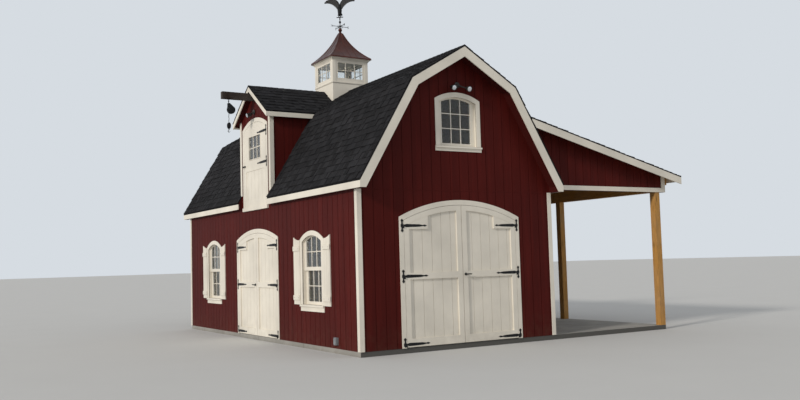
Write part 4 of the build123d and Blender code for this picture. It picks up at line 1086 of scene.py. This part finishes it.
def lights(bars, light, width, depth=0.024, columns=3, let_in=0.012):
    """Bars that part a light into panes, with their ends let into its frame."""
    half, low, high, rows, front = light
    for n in range(1, columns):
        x = -half + 2 * half * n / columns
        first = x - width / 2, front, low - let_in
        bars.block(first, (x + width / 2, front + depth, high + let_in), width / 6)
    for n in range(1, rows):
        z = low + (high - low) * n / rows
        first = -half - let_in, front + 0.001, z - width / 2
        bars.block(first, (half + let_in, front + depth - 0.001, z + width / 2), width / 6)


class SHED_OT_window_bars(bpy.types.Operator):
    """Set the white bars of the windows, the loft door's light and the cupola's lights"""

    bl_idname = "shed.window_bars"
    bl_label = "Window bars"

    def execute(self, context):
        bars = Shape()
        wide, thin = context.scene.shed_sizes.window_bar, context.scene.shed_sizes.loft_bar
        for y in WINDOWS:
            bars.place = LEFT @ at(y, 0, 0)
            lights(bars, LOWER_SASH, wide)
            lights(bars, UPPER_SASH, wide)
        for place in (FRONT, REAR):
            bars.place = place
            lights(bars, GABLE_LIGHT, wide)
        bars.place = LEFT
        lights(bars, LOFT_LIGHT, thin + 0.006, 0.020)
        framed(bars, *LOFT_LIGHT[:3], 0.017, -0.027, 0.010)
        for quarter in range(4):
            bars.place = CUPOLA_PLACE @ turned(quarter * QUARTER) @ at(0, -CUPOLA_HALF, 0)
            lights(bars, CUPOLA_LIGHT, thin, 0.018)
            framed(bars, *CUPOLA_FRAME, 0.030, 0.002, 0.008)
        bars.piece("window_bars", "trim_paint")
        return {"FINISHED"}


LINING_RIM = 0.035
LINING_BOARD = 0.092
LEDGE_INSET = 0.060
LEDGE_HALF = 0.055
LEDGES = (0.08, 0.47, 0.80)


def lined_back(name, way, body):
    """Thin upright boards and three ledges on the inside of a door leaf."""
    low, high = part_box(name + "_leaf")
    level = high.dot(way)
    lining = node_faces(name + "_leaf", way, level)
    rim = bmesh.ops.inset_region(
        lining, faces=list(lining.faces), thickness=LINING_RIM, use_even_offset=True, use_boundary=True
    )
    bmesh.ops.delete(lining, geom=rim["faces"], context="FACES")
    lining = grooved(lining, way, LINING_BOARD, THIN_GROOVE, THIN_BOARD)
    ledges = Shape()
    inset = along_face(way) * LEDGE_INSET
    depth = 0 if way.x > 0.5 else 1
    for share in LEDGES:
        z = low.z + (high.z - low.z) * share
        first = Vector((low.x, low.y, z - LEDGE_HALF)) + inset
        last = Vector((high.x, high.y, z + LEDGE_HALF)) - inset
        first[depth], last[depth] = level + 0.0045, level + 0.0170
        ledges.block(first, last, 0.003)
    gathered_piece(name + "_lining", joined_mesh([lining, ledges.mesh]), "door_paint", body)


class SHED_OT_door_boards(bpy.types.Operator):
    """Set vertical boards in the panels and linings of every door leaf and on the shutters"""

    bl_idname = "shed.door_boards"
    bl_label = "Door and shutter boards"

    def execute(self, context):
        sizes = context.scene.shed_sizes
        planks = sizes.plank_width, sizes.plank_groove, sizes.plank_depth
        for door, way, wall, hand in DOUBLE_DOORS:
            for side, leaf in LEAVES:
                name, body = door + "_door_" + leaf, door + "_" + leaf + "_leaf"
                faces = node_faces(name + "_leaf", way, wall - PANEL_RECESS)
                boards = grooved(faces, way, *planks, hand * side * FIRST_PLANK)
                gathered_piece(name + "_boards", boards, "door_paint", body)
                lined_back(name, -Vector(way), body)
        boards = grooved(node_faces("loft_door_leaf", TO_LEFT, HALF_WIDTH), TO_LEFT, *planks, FIRST_PLANK)
        gathered_piece("loft_door_boards", boards, "door_paint")
        shutters = node_faces("shutters", TO_LEFT, -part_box("shutters")[0].x)
        boards = grooved(shutters, TO_LEFT, SHUTTER_BOARD, THIN_GROOVE, THIN_BOARD)
        gathered_piece("shutter_boards", boards, "trim_paint")
        battens = Shape()
        for window in WINDOWS:
            for side in SIDES:
                for z in SHUTTER_BATTENS:
                    battens.place = LEFT @ at(window + side * SHUTTER_MIDDLE, 0, z)
                    battens.blocks((-140, 140, -43, -26, -46, 46, 3))
        battens.piece("shutter_battens", "rail_paint")
        return {"FINISHED"}


# Each door's place, hinge line, strap heights from the top, and which leaf carries the lever
DOORS = (
    ("front", FRONT, 1.2330, (2.1220, 1.238, 0.062), 1),
    ("side", LEFT, 1.0805, (1.9093, 1.090, 0.062), -1),
)
# Reach and radius along a lever, then turned profiles as radius and height
LEVER = mm((-40, 3), (-38, 8), (-30, 10), (0, 11.8), (45, 10.6), (95, 10), (112, 8.6), (114.5, 3))
ROSE = mm((24.5, 0), (24.5, 3), (21, 6.5), (14, 8), (11.5, 20), (10.5, 34))
BOLT_KNOB = mm((4, 0), (4, 12), (9, 16), (10, 21), (7, 26), (0, 27))
COVER_SCREW = mm((3.2, 0), (3.2, 1.5), (0, 2.2))


# A pan head as share of its radius and height
SCREW_HEAD = ((1, 0), (0.97, 0.0012), (0.7, 0.0026), (0.25, 0.0031), (0, 0.0024))


def screws(name, radius, spots, body=BUILDING):
    """Pan heads with a cross slot's shallow well, on many spots."""
    head = Shape()
    head.lathe([(radius * share, height) for share, height in SCREW_HEAD], 10)
    repeated(name, head, spots, "black_iron", body)


def hinge_spots(place, hinge, z, side=1):
    """Where a hinge strap's screws go, and where its pad's screws go."""
    strap = [place @ at(side * (hinge - reach), STRAP_FACE, z + lift) @ OUT for reach, lift in STRAP_SCREWS]
    lifts = [lift for lift in PAD_SCREWS if z + lift > LOWEST_SCREW]
    return strap, [place @ at(side * (hinge + PAD_REACH), STRAP_FACE, z + lift) @ OUT for lift in lifts]


class SHED_OT_ironwork(bpy.types.Operator):
    """Drive the hinge screws, and shape the levers, the loft door's bolt and the outlet's cover"""

    bl_idname = "shed.ironwork"
    bl_label = "Ironwork"

    def execute(self, context):
        radius = context.scene.shed_sizes.screw_radius
        fixed = []
        for door, place, hinge, heights, hand in DOORS:
            for side, leaf in LEAVES:
                straps = []
                for z in heights:
                    strap, pad = hinge_spots(place, hinge, z, side)
                    straps += strap
                    fixed += pad
                screws(door + "_" + leaf + "_screws", radius, straps, door + "_" + leaf + "_leaf")
            lever = Shape(place)
            path = [(hand * (LEVER_REACH + x), LEVER_DEPTH, heights[1]) for x, _ in LEVER]
            lever.tube(path, [around for _, around in LEVER], 12)
            lever.lathe(ROSE, 24, at(hand * LEVER_REACH, ROSE_DEPTH, heights[1]) @ OUT)
            body = door + ("_right_leaf" if hand > 0 else "_left_leaf")
            lever.piece(door + "_door_lever", "black_iron", body)
        for z in LOFT_STRAPS:
            strap, pad = hinge_spots(LEFT, LOFT_HINGE, z)
            fixed += strap + pad
        for window in WINDOWS:
            for side in SIDES:
                spots = [(window + side * x, z) for z in SHUTTER_BATTENS for x in SHUTTER_SCREWS]
                fixed += [LEFT @ at(x, SHUTTER_FACE, z) @ OUT for x, z in spots]
        screws("fixed_screws", radius, fixed)

        latch = Shape(LEFT @ at(0, 0, LOFT_STRAPS[1]))
        latch.blocks(
            (-596, -531, -43.5, -40, -15, 15, 1),
            *[(x - 4.5, x + 4.5, -54.5, -40.5, -8.5, 8.5, 1.5) for x in (-588, -562, -540)],
            (-670, -648, -43, -22.5, -16, 16, 1.5),
            (-664, -654, -56, -43, -8.5, 8.5, 1.5),
        )
        latch.bar(-664, -540, -47.5, 0, 5.5, 4)
        latch.lathe(BOLT_KNOB, 16, at(-0.5750, -0.0475, 0) @ OUT)
        latch.piece("loft_latch", "black_iron")

        outlet = Shape(LEFT @ at(3.724, 0, 0.130))
        outlet.blocks(
            (-52, 52, -56, -49.8, -67, 67, 3),
            (-42, 42, -66, -56, -52, 49, 4),
            (-16, 16, -70, -65, -56, -47, 1.5),
        )
        outlet.bar(-36, 36, -60, 54, 4.5, 3)
        for x in (-0.046, 0.046):
            for z in (-0.061, 0.061):
                outlet.lathe(COVER_SCREW, 10, at(x, -0.056, z) @ OUT)
        outlet.piece("outlet_cover", "grey_plastic")
        return {"FINISHED"}


# The cupola's hip as (reach, height), its mouldings as (depth, height), its finial as (radius, height)
CUPOLA_HIP = bowed((0.512, 6.144), (0.262, 6.398), (0.046, 6.800), 25)
HIP_RADII = mm(*[8.5] * 22, 6.5, 4.5, 2)
COVE = [(-reach, height) for reach, height in bowed((0.4535, 6.058), (0.4640, 6.072), (0.4775, 6.0885), 7)]
MOULDING = COVE + mm((-445.5, 6088.5), (-445.5, 6058))
DRIP_EDGE = mm(
    (-512.5, 6119.5), (-518.5, 6115), (-518.5, 6128.5), (-515, 6144), (-504, 6152), (-504, 6119.5)
)
APEX = mm((50, -10), (54, 0), (52, 6), (40, 12), (32, 26), (25.5, 40), (0, 44))
BALL_BAND = mm((45, 79.5), (47, 82), (47, 86), (45, 88.5))
BALL_CAP = mm((20, 120), (16, 130), (11, 134), (10.5, 142), (0, 142))


class SHED_OT_cupola_trim(bpy.types.Operator):
    """Trim the cupola: posts, mouldings, drip edge, hip rolls, seams and apex"""

    bl_idname = "shed.cupola_trim"
    bl_label = "Cupola trim"

    def execute(self, context):
        trim, copper = Shape(), Shape()
        for quarter in range(4):
            copper.place = CUPOLA_PLACE @ turned(quarter * QUARTER)
            trim.place = copper.place @ at(0, -CUPOLA_HALF, 0)
            trim.blocks(
                *[(x - 40, x + 40, -8, -0.5, 5570.5, 6088.5, 2) for x in (-408, 408)],
                (-366, 366, -6, -0.5, 6046, 6088.5, 2),
                (-458.5, 458.5, -8.5, 2, 5532, 5543.5, 4),
            )
            trim.place = copper.place
            trim.swept(MOULDING)
            copper.swept(DRIP_EDGE)
            copper.tube([(x, -x, z) for x, z in CUPOLA_HIP], HIP_RADII)
            for x in (-0.17, 0.0, 0.17):
                seam = [(x, -reach - 0.001, z) for reach, z in CUPOLA_HIP if reach > abs(x) + 0.01]
                copper.tube(seam, 0.0045, 6)
        copper.place = at(0, 0, VANE_FOOT)
        copper.lathe(APEX, 32)
        copper.ball((0, 0, 0.084), 0.0445, 32)
        copper.lathe(BALL_BAND, 32)
        copper.lathe(BALL_CAP, 24)
        trim.piece("cupola_trim", "trim_paint")
        copper.piece("cupola_copperwork", "weathered_copper")
        return {"FINISHED"}


# Profiles as (radius, height) and curves as (reach, height)
SCROLL = mm((8, -34), (30, -40), (52, -34), (64, -20), (60, -6), (48, -2), (40, -10), (45, -18))
KNOB = mirrored((27.5, 0), (24, 11), (15, 24), (14, 31), (8.5, 36))
KNOB_RING = mm((8.5, 52), (12.5, 55), (12.5, 59), (8.5, 62))
BREAST = mm(
    (0, 48), (14, 52), (30, 78), (42, 118), (46.5, 155), (43, 195), (33, 228), (23, 250), (21.5, 262),
    (25.5, 278), (25, 292), (17, 306), (0, 312),
)
BREAST_FEATHER = mm((-7.5, 10), (7.5, 10), (8.5, 0), (5, -9), (0, -12), (-5, -9), (-8.5, 0))
PERCH_SLEEVE = mm(
    (8.8, -50), (13.5, -50), (15, -46), (13, -41), (13, -20), (16.5, -14), (13, -8), (8.8, -6.2)
)
WING_EDGE = bowed((0.010, 0.272), (0.245, 0.440), (0.357, 0.352), 31)
WING_RADII = [0.0150 - 0.012 * (n / 30) ** 0.8 for n in range(31)]
WING_FEATHERS = 17
# Feather layers as share of the full length, width and half thickness past the plate
WING_LAYERS = ((1.0, 0.038, 0.0016), (0.58, 0.042, 0.0036), (0.30, 0.042, 0.0056))
# A feather's outline as share of its length and of its half width
FEATHER = ((0.0, 0.45), (0.3, 0.9), (0.65, 1.0), (0.88, 0.75), (0.97, 0.35), (1.0, 0.0))


# The compass letters' strokes, 52 mm high and centred on zero, from south round to west
UPPER_BOW = [(13 * math.cos(a), 12.5 + 13.5 * math.sin(a)) for a in (0.35, 0.9, 1.57, 2.4, 3.14, 3.9, 4.71)]
LOWER_BOW = [(13 * math.cos(a), -13.5 + 12.5 * math.sin(a)) for a in (0.8, 0.0, -0.8, -1.57, -2.3, -2.9)]
LETTERS = mm(
    (UPPER_BOW + LOWER_BOW,),
    (((-19, -26), (-19, 26)), ((-19, -26), (19, -26)), ((-19, 0), (15, 0)), ((-19, 26), (19, 26))),
    (((-19, -26), (-19, 26), (19, -26), (19, 26)),),
    (((-22, 26), (-9.5, -26), (0, 13), (9.5, -26), (22, 26)),),
)


def radius_at(profile, height):
    """The radius of a lathe profile at a height."""
    for (inner, low), (outer, high) in zip(profile, profile[1:]):
        if low <= height <= high:
            return inner + (outer - inner) * (height - low) / (high - low)
    return 0.0


def feather(bird, root, tip, width, near, far, side=1):
    """One flat feather from its root to its rounded tip."""
    root, tip = Vector(root), Vector(tip)
    along = tip - root
    aside = Vector((-along.y, along.x)).normalized() * (width / 2)
    edge = [root + along * share + aside * spread for share, spread in FEATHER]
    back = [root + along * share - aside * spread for share, spread in FEATHER[-2::-1]]
    bird.prism([(side * point.x, point.y) for point in edge + back], near, far, 0.0006)
    rib = [root + along * share for share in (0.05, 0.5, 0.92)]
    for y in (near - 0.0004, far + 0.0004):
        bird.tube([(side * point.x, y, point.y) for point in rib], (0.0016, 0.0012, 0.0006), 5)


def wing(bird, side):
    """A raised wing: a bowed leading edge with three layers of feathers under it."""
    bird.tube([(side * x, 0, z) for x, z in WING_EDGE], WING_RADII, 10)
    for n in range(WING_FEATHERS):
        share = n / (WING_FEATHERS - 1)
        root = WING_EDGE[round(27 * share)]
        tip = 0.045 + 0.312 * share, 0.168 + 0.184 * (1 - (1 - share) ** 2.5)
        depth = 0.0012 if n % 2 else -0.0012
        for reach, width, half in WING_LAYERS if n < WING_FEATHERS - 1 else WING_LAYERS[:1]:
            end = [r + (t - r) * reach for r, t in zip(root, tip)]
            feather(bird, root, end, width, depth - half, depth + half, side)


def leg(bird, side):
    """A feathered leg with three toes over the perch and one behind."""
    x = side * 24
    bird.limb(12, (side * 20, -4, 112, 22), (x, -6, 80, 19), (x, -2, 50, 9.5), (x, 0, 12, 7.5))
    for toe in (-10, 0, 10):
        start, knuckle, end = x + toe, x + toe * 1.4, x + toe * 1.5
        bird.limb(8, (start, 0, 14, 5), (knuckle, -12, 9, 4.6), (end, -14.5, -3, 3.4), (end, -9, -10, 1))
    bird.limb(8, (x, 0, 14, 5), (x, 13, 6, 4), (x, 12, -8, 1))


class SHED_OT_weathervane(bpy.types.Operator):
    """Shape the weathervane's compass letters, scrolls, knob and spread eagle"""

    bl_idname = "shed.weathervane"
    bl_label = "Weathervane"

    def execute(self, context):
        compass = Shape()
        for quarter, letter in enumerate(LETTERS):
            compass.place = at(0, 0, VANE_ARMS) @ turned(quarter * QUARTER)
            flip = -1 if quarter in (1, 2) else 1
            for stroke in letter:
                compass.tube([(0.210 + flip * x, 0, z) for x, z in stroke], 0.0036, 6)
            compass.tube([(x, 0, z) for x, z in SCROLL], 0.0034, 6)
            compass.tube([(x, 0, -z * 0.7) for x, z in SCROLL], 0.0030, 6)
            compass.ball((0.150, 0, 0), 0.0085, 12)
        compass.place = at(0, 0, VANE_ARMS)
        compass.lathe(mirrored((17, 10), (12, 16)), 20)
        compass.place = at(0, 0, VANE_KNOB)
        compass.lathe(KNOB, 24)
        compass.lathe(KNOB_RING, 20)
        compass.piece("compass_points", "black_iron")

        bird = Shape(EAGLE_PLACE)
        bird.lathe(BREAST, 24)
        bird.limb(10, (0, -12, 290, 13), (0, -34, 288, 9.5), (0, -46, 281, 5.5), (0, -51, 268, 1))
        for side in SIDES:
            bird.ball((side * 0.020, -0.014, 0.293), 0.005, 8)
            bird.limb(6, (side * 22, -4, 299, 4), (side * 17, -24, 300, 4))
            leg(bird, side)
            wing(bird, side)
            bird.ball((side * 0.068, 0, 0), 0.0125, 12)
        for n in range(-3, 4):
            near = 0.020 + 0.0016 * abs(n)
            tip = n * 0.0185, 0.030 + abs(n) * 0.005
            feather(bird, (n * 0.004, 0.128), tip, 0.026, near, near + 0.004)
        for row in range(9):
            z = 0.075 + row * 0.021
            tilt = at(0, -radius_at(BREAST, z) - 0.0005, z) @ turned(0.16, "X")
            for n in range(12):
                spot = turned(2 * math.pi * (n + 0.5 * (row % 2)) / 12) @ tilt
                bird.prism(BREAST_FEATHER, -0.0028, 0.0020, 0, spot)
        bird.bar(-70, 70, 0, 0, 9, 6, 4)
        bird.lathe(PERCH_SLEEVE, 20)
        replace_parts(bird.piece("spread_eagle", "black_iron", "weathervane"), "vane_eagle")
        return {"FINISHED"}


# The tackle's turned parts as (radius, height)
EYE_PLATE = mm((34, -1.5), (34, -5), (30, -7), (12, -7), (12, -1.5))
SHEAVE = mirrored((70, 0), (72, 6), (81, 14.5), (79, 16), (18, 16))
SHEAVE_PIN = mirrored((20, 26.2), (13, 26.2), (13, 37), (10, 40), (0, 40))
CHEEK_BOLT = mirrored((8, 28), (6, 31), (0, 32))
LOWER_SHEAVE = mirrored((29, 0), (35, 11.5), (33, 13), (8, 13))
LOWER_PIN = mirrored((10, 28), (7, 31), (0, 31))
SWIVEL = mm((5.5, -632), (12, -638), (13.5, -650), (9.5, -658), (6, -664))
# The hook's bend as depth, height and radius
HOOK = (
    (0, -655, 5), (0, -668, 5), (-6, -674, 5.2), (-17, -680, 6), (-22.5, -692, 6.8), (-18, -706, 7.2),
    (-4, -713.5, 7), (12, -710, 5.8), (21.5, -698, 3.8), (22.5, -686, 1.2),
)
BOLT_SPOTS = mm((0, -104), (118, -190), (98, -296), (-18, -272))


class SHED_OT_hoist(bpy.types.Operator):
    """Shape the hoist's eye, shackle, blocks, chain and hook"""

    bl_idname = "shed.hoist"
    bl_label = "Hoist tackle"

    def execute(self, context):
        tackle = Shape(TACKLE_PLACE)

        def cheeks(outline, inner, outer, bevel=0.0015):
            """A plate on each side of the middle, from an outline of (depth, height) points."""
            for side in SIDES:
                tackle.prism(outline, side * inner, side * outer, bevel, turned(QUARTER))

        def disc(y, z, wide, high):
            """A round outline."""
            return [(y + wide * c, z + high * s) for c, s in circle(24)]

        tackle.lathe(EYE_PLATE, 24)
        eye = circle(25, 0.0, math.pi / 12)
        tackle.tube([(0.0190 * c, 0, -0.0265 + 0.0190 * s) for c, s in eye], 0.0042)
        for side in SIDES:
            x = side * 7
            arm = (side * 16, 0, -36, 4), (side * 20, 0, -48, 4.6), (side * 12, 0, -64, 4.6)
            tackle.limb(8, *arm, (x, 0, -78, 4.2), (x, 0, -100, 4))
            tackle.ball((side * 0.024, 0, -0.048), 0.0075, 10)
        tackle.limb(8, (-24, 0, -48, 4.2), (24, 0, -48, 4.2))

        centre = at(0, 0.052, -0.225) @ ACROSS
        shell = circle(25, math.radians(30), math.radians(-10))
        shell = [(0.052 + 0.090 * c, -0.225 + 0.090 * s) for c, s in shell]
        cheeks([(-0.022, -0.0873), (0.022, -0.0873), *shell], 0.017, 0.023)
        cheeks(disc(0.052, -0.225, 0.060, 0.060), 0.023, 0.0265)
        tackle.lathe(SHEAVE, 40, centre)
        tackle.lathe(SHEAVE_PIN, 20, centre)
        for y, z in BOLT_SPOTS:
            tackle.lathe(CHEEK_BOLT, 6, at(0, y, z) @ ACROSS)

        link = Shape()
        bend = [(0.0052 * c, 0.0078 + 0.0052 * s) for c, s in circle(7, 0.0, math.pi / 6)]
        loop = bend + [(-x, -z) for x, z in bend] + bend[:1]
        link.tube([(x, 0, z) for x, z in loop], 0.0020, 6)
        spots = []
        for n in range(15):
            sway = 0.0025 * math.sin(n * 0.9)
            spot = TACKLE_PLACE @ at(sway, sway, -0.2975 - n * 0.0146)
            spots.append(spot @ turned(QUARTER * (n % 2) + 0.2))
        repeated("hoist_chain", link, spots, "black_iron")

        pin = at(0, 0, -0.574) @ ACROSS
        cheeks(disc(0, -0.574, 0.040, 0.070), 0.014, 0.022, 0.0025)
        tackle.lathe(LOWER_SHEAVE, 28, pin)
        tackle.lathe(LOWER_PIN, 16, pin)
        for z in (-511, -637):
            tackle.limb(10, (-23, 0, z, 5.5), (23, 0, z, 5.5))
        tackle.lathe(SWIVEL)
        tackle.limb(10, *[(0, *row) for row in HOOK])
        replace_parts(tackle.piece("hoist_blocks", "black_iron"), "hoist_tackle")
        return {"FINISHED"}


# The lamps' turned parts as (radius, height), from the wall out or from a lamp's mouth in
WALL_COVER = mm((50, 0), (56, 1), (56, 5), (47, 10), (22, 13), (17, 22), (0, 23))
WALL_SCREW = mm((4.5, 7), (4.5, 12.5), (0, 14))
LAMP_RIM = mm((47, 10), (51.5, 10), (53.5, 7), (53.5, -4), (51, -7.5), (46.5, -7.5), (45, -2), (44.5, 2))
LAMP_RIB = mirrored((3.5, 1.6), (-2, 2.8))
LAMP_BACK = mm((24, 104), (24, 111), (18, 118), (0, 119))
LAMP_JOINT = mirrored((15.5, 7), (12, 10))
LAMP_LENS = mm(
    (44.7, 1), (44, -3), (40, -5.5), (39, -5), (30, -8.5), (29, -8), (19, -10.8), (18, -10.3), (0, -12.5)
)
LAMPS = ((FRONT, 4.635, (-0.17, 0.17)), (LEFT, 4.754, (0.0,)))


class SHED_OT_lamps(bpy.types.Operator):
    """Fit the flood lamps' lenses, rims, cooling ribs, knuckles and wall covers"""

    bl_idname = "shed.lamps"
    bl_label = "Flood lamps"

    def execute(self, context):
        rims, lenses = Shape(), Shape()
        for place, height, spread in LAMPS:
            rims.place = lenses.place = place
            base = Vector((0, 0, height)) + LAMP_BASE
            rims.lathe(WALL_COVER, 32, at(*base) @ OUT)
            for x in (-0.036, 0.036):
                rims.lathe(WALL_SCREW, 8, at(x, *base.yz) @ OUT)
            for x in spread:
                end = Vector((x, 0, height)) + LAMP_ARM
                mouth = at(*end) @ turned(math.radians(LAMP_TILT - 90), "X") @ at(0, 0, -LAMP_HEAD)
                rims.lathe(LAMP_RIM, 40, mouth)
                for up in (0.030, 0.042, 0.054, 0.066, 0.078):
                    around = 0.050 - 0.219 * up
                    rims.lathe([(around + reach, up + rise) for reach, rise in LAMP_RIB], 32, mouth)
                rims.lathe(LAMP_BACK, 24, mouth)
                for share in (0.22, 0.34):
                    rims.lathe(LAMP_JOINT, 12, aimed(base, end) @ at(0, 0, (end - base).length * share))
                lenses.lathe(LAMP_LENS, 40, mouth)
        rims.piece("lamp_rims", "lamp_enamel")
        lenses.piece("lamp_lenses", "lamp_lens")
        return {"FINISHED"}


class SHED_OT_stage(bpy.types.Operator):
    """Set the camera, the pale floor and the soft light"""

    bl_idname = "shed.stage"
    bl_label = "Stage"

    def execute(self, context):
        stage, link = context.scene.shed_stage, context.scene.collection.objects.link
        lens = bpy.data.cameras.new("photo_camera")
        lens.lens = stage.lens
        lens.sensor_width = 36.0
        lens.clip_end = 1000.0
        camera = bpy.data.objects.new("photo_camera", lens)
        link(camera)
        level = Vector((math.cos(stage.yaw), -math.sin(stage.yaw), 0))
        forward = Vector((math.sin(stage.yaw), math.cos(stage.yaw), 0)) * math.cos(stage.pitch)
        ahead = forward + Vector((0, 0, math.sin(stage.pitch)))
        upright = level.cross(ahead)
        right = math.cos(stage.roll) * level + math.sin(stage.roll) * upright
        up = math.cos(stage.roll) * upright - math.sin(stage.roll) * level
        camera.matrix_world = at(*stage.eye) @ Matrix((right, up, -ahead)).transposed().to_4x4()
        context.scene.camera = camera

        half = stage.floor_size / 2
        floor_mesh = bpy.data.meshes.new("floor")
        corners = [(-half, -half, 0), (half, -half, 0), (half, half, 0), (-half, half, 0)]
        floor_mesh.from_pydata(corners, [], [(0, 1, 2, 3)])
        floor = bpy.data.objects.new("floor", floor_mesh)
        link(floor)
        finish = Finish("floor_paper", stage.floor, Roughness=0.9)
        paper = finish.mix(finish.noise(0.7, 4.0), 0.97, 1.03)
        finish.tree.links.new(paper, finish.shader.inputs["Base Color"])
        floor_mesh.materials.append(finish.material)

        world = bpy.data.worlds.new("studio")
        context.scene.world = world
        world.use_nodes = True
        world.node_tree.nodes.clear()
        sky = Nodes(world.node_tree)
        path = sky.add("ShaderNodeLightPath").outputs
        seen = sky.maths("MAXIMUM", path["Is Camera Ray"], path["Is Glossy Ray"])
        seen = sky.maths("MAXIMUM", seen, path["Is Transmission Ray"])
        fill = {"Color": (0.93, 0.96, 1.0, 1.0), "Strength": stage.fill_strength}
        backdrop = {"Color": shade(stage.sky), "Strength": 1.0}
        fill, backdrop = [sky.out("ShaderNodeBackground", values) for values in (fill, backdrop)]
        both = sky.out("ShaderNodeMixShader", {0: seen, 1: fill, 2: backdrop})
        sky.add("ShaderNodeOutputWorld", {"Surface": both})

        sun = bpy.data.lights.new("key", "SUN")
        sun.energy = stage.key_strength
        sun.angle = math.radians(SUN_ANGLE)
        sun.color = (1.0, 0.95, 0.88)
        key = bpy.data.objects.new("key", sun)
        link(key)
        key.rotation_euler = Vector(SUN_DIRECTION).to_track_quat("-Z", "Y").to_euler()

        context.scene.view_settings.view_transform = "Standard"
        return {"FINISHED"}


class SHED_PT_panel(bpy.types.Panel):
    """Barn shed pieces"""

    bl_label = "Barn Shed"
    bl_idname = "SHED_PT_panel"
    bl_space_type = "VIEW_3D"
    bl_region_type = "UI"
    bl_category = "Barn Shed"

    def draw(self, context):
        for group in (context.scene.shed_sizes, context.scene.shed_colours, context.scene.shed_stage):
            box = self.layout.box()
            for name in group.bl_rna.properties.keys():
                if name not in ("rna_type", "name"):
                    box.prop(group, name)
        for step in STEPS:
            self.layout.operator(step.bl_idname)


GROUPS = (ShedSizes, ShedColours, ShedStage)
STEPS = (
    SHED_OT_stage,
    SHED_OT_finishes,
    SHED_OT_siding,
    SHED_OT_shingles,
    SHED_OT_ridge_caps,
    SHED_OT_window_bars,
    SHED_OT_door_boards,
    SHED_OT_ironwork,
    SHED_OT_cupola_trim,
    SHED_OT_weathervane,
    SHED_OT_hoist,
    SHED_OT_lamps,
)


def register():
    """Register the classes and attach the sizes, colours and stage settings to the scene."""
    for entry in (*GROUPS, *STEPS, SHED_PT_panel):
        bpy.utils.register_class(entry)
    bpy.types.Scene.shed_sizes = PointerProperty(type=ShedSizes)
    bpy.types.Scene.shed_colours = PointerProperty(type=ShedColours)
    bpy.types.Scene.shed_stage = PointerProperty(type=ShedStage)


def unregister():
    """Undo register."""
    del bpy.types.Scene.shed_stage
    del bpy.types.Scene.shed_colours
    del bpy.types.Scene.shed_sizes
    for entry in (SHED_PT_panel, *reversed(STEPS), *reversed(GROUPS)):
        bpy.utils.unregister_class(entry)


def main():
    """Make every piece in order."""
    register()
    for step in STEPS:
        area, name = step.bl_idname.split(".")
        getattr(getattr(bpy.ops, area), name)()


if __name__ == "__main__":
    main()
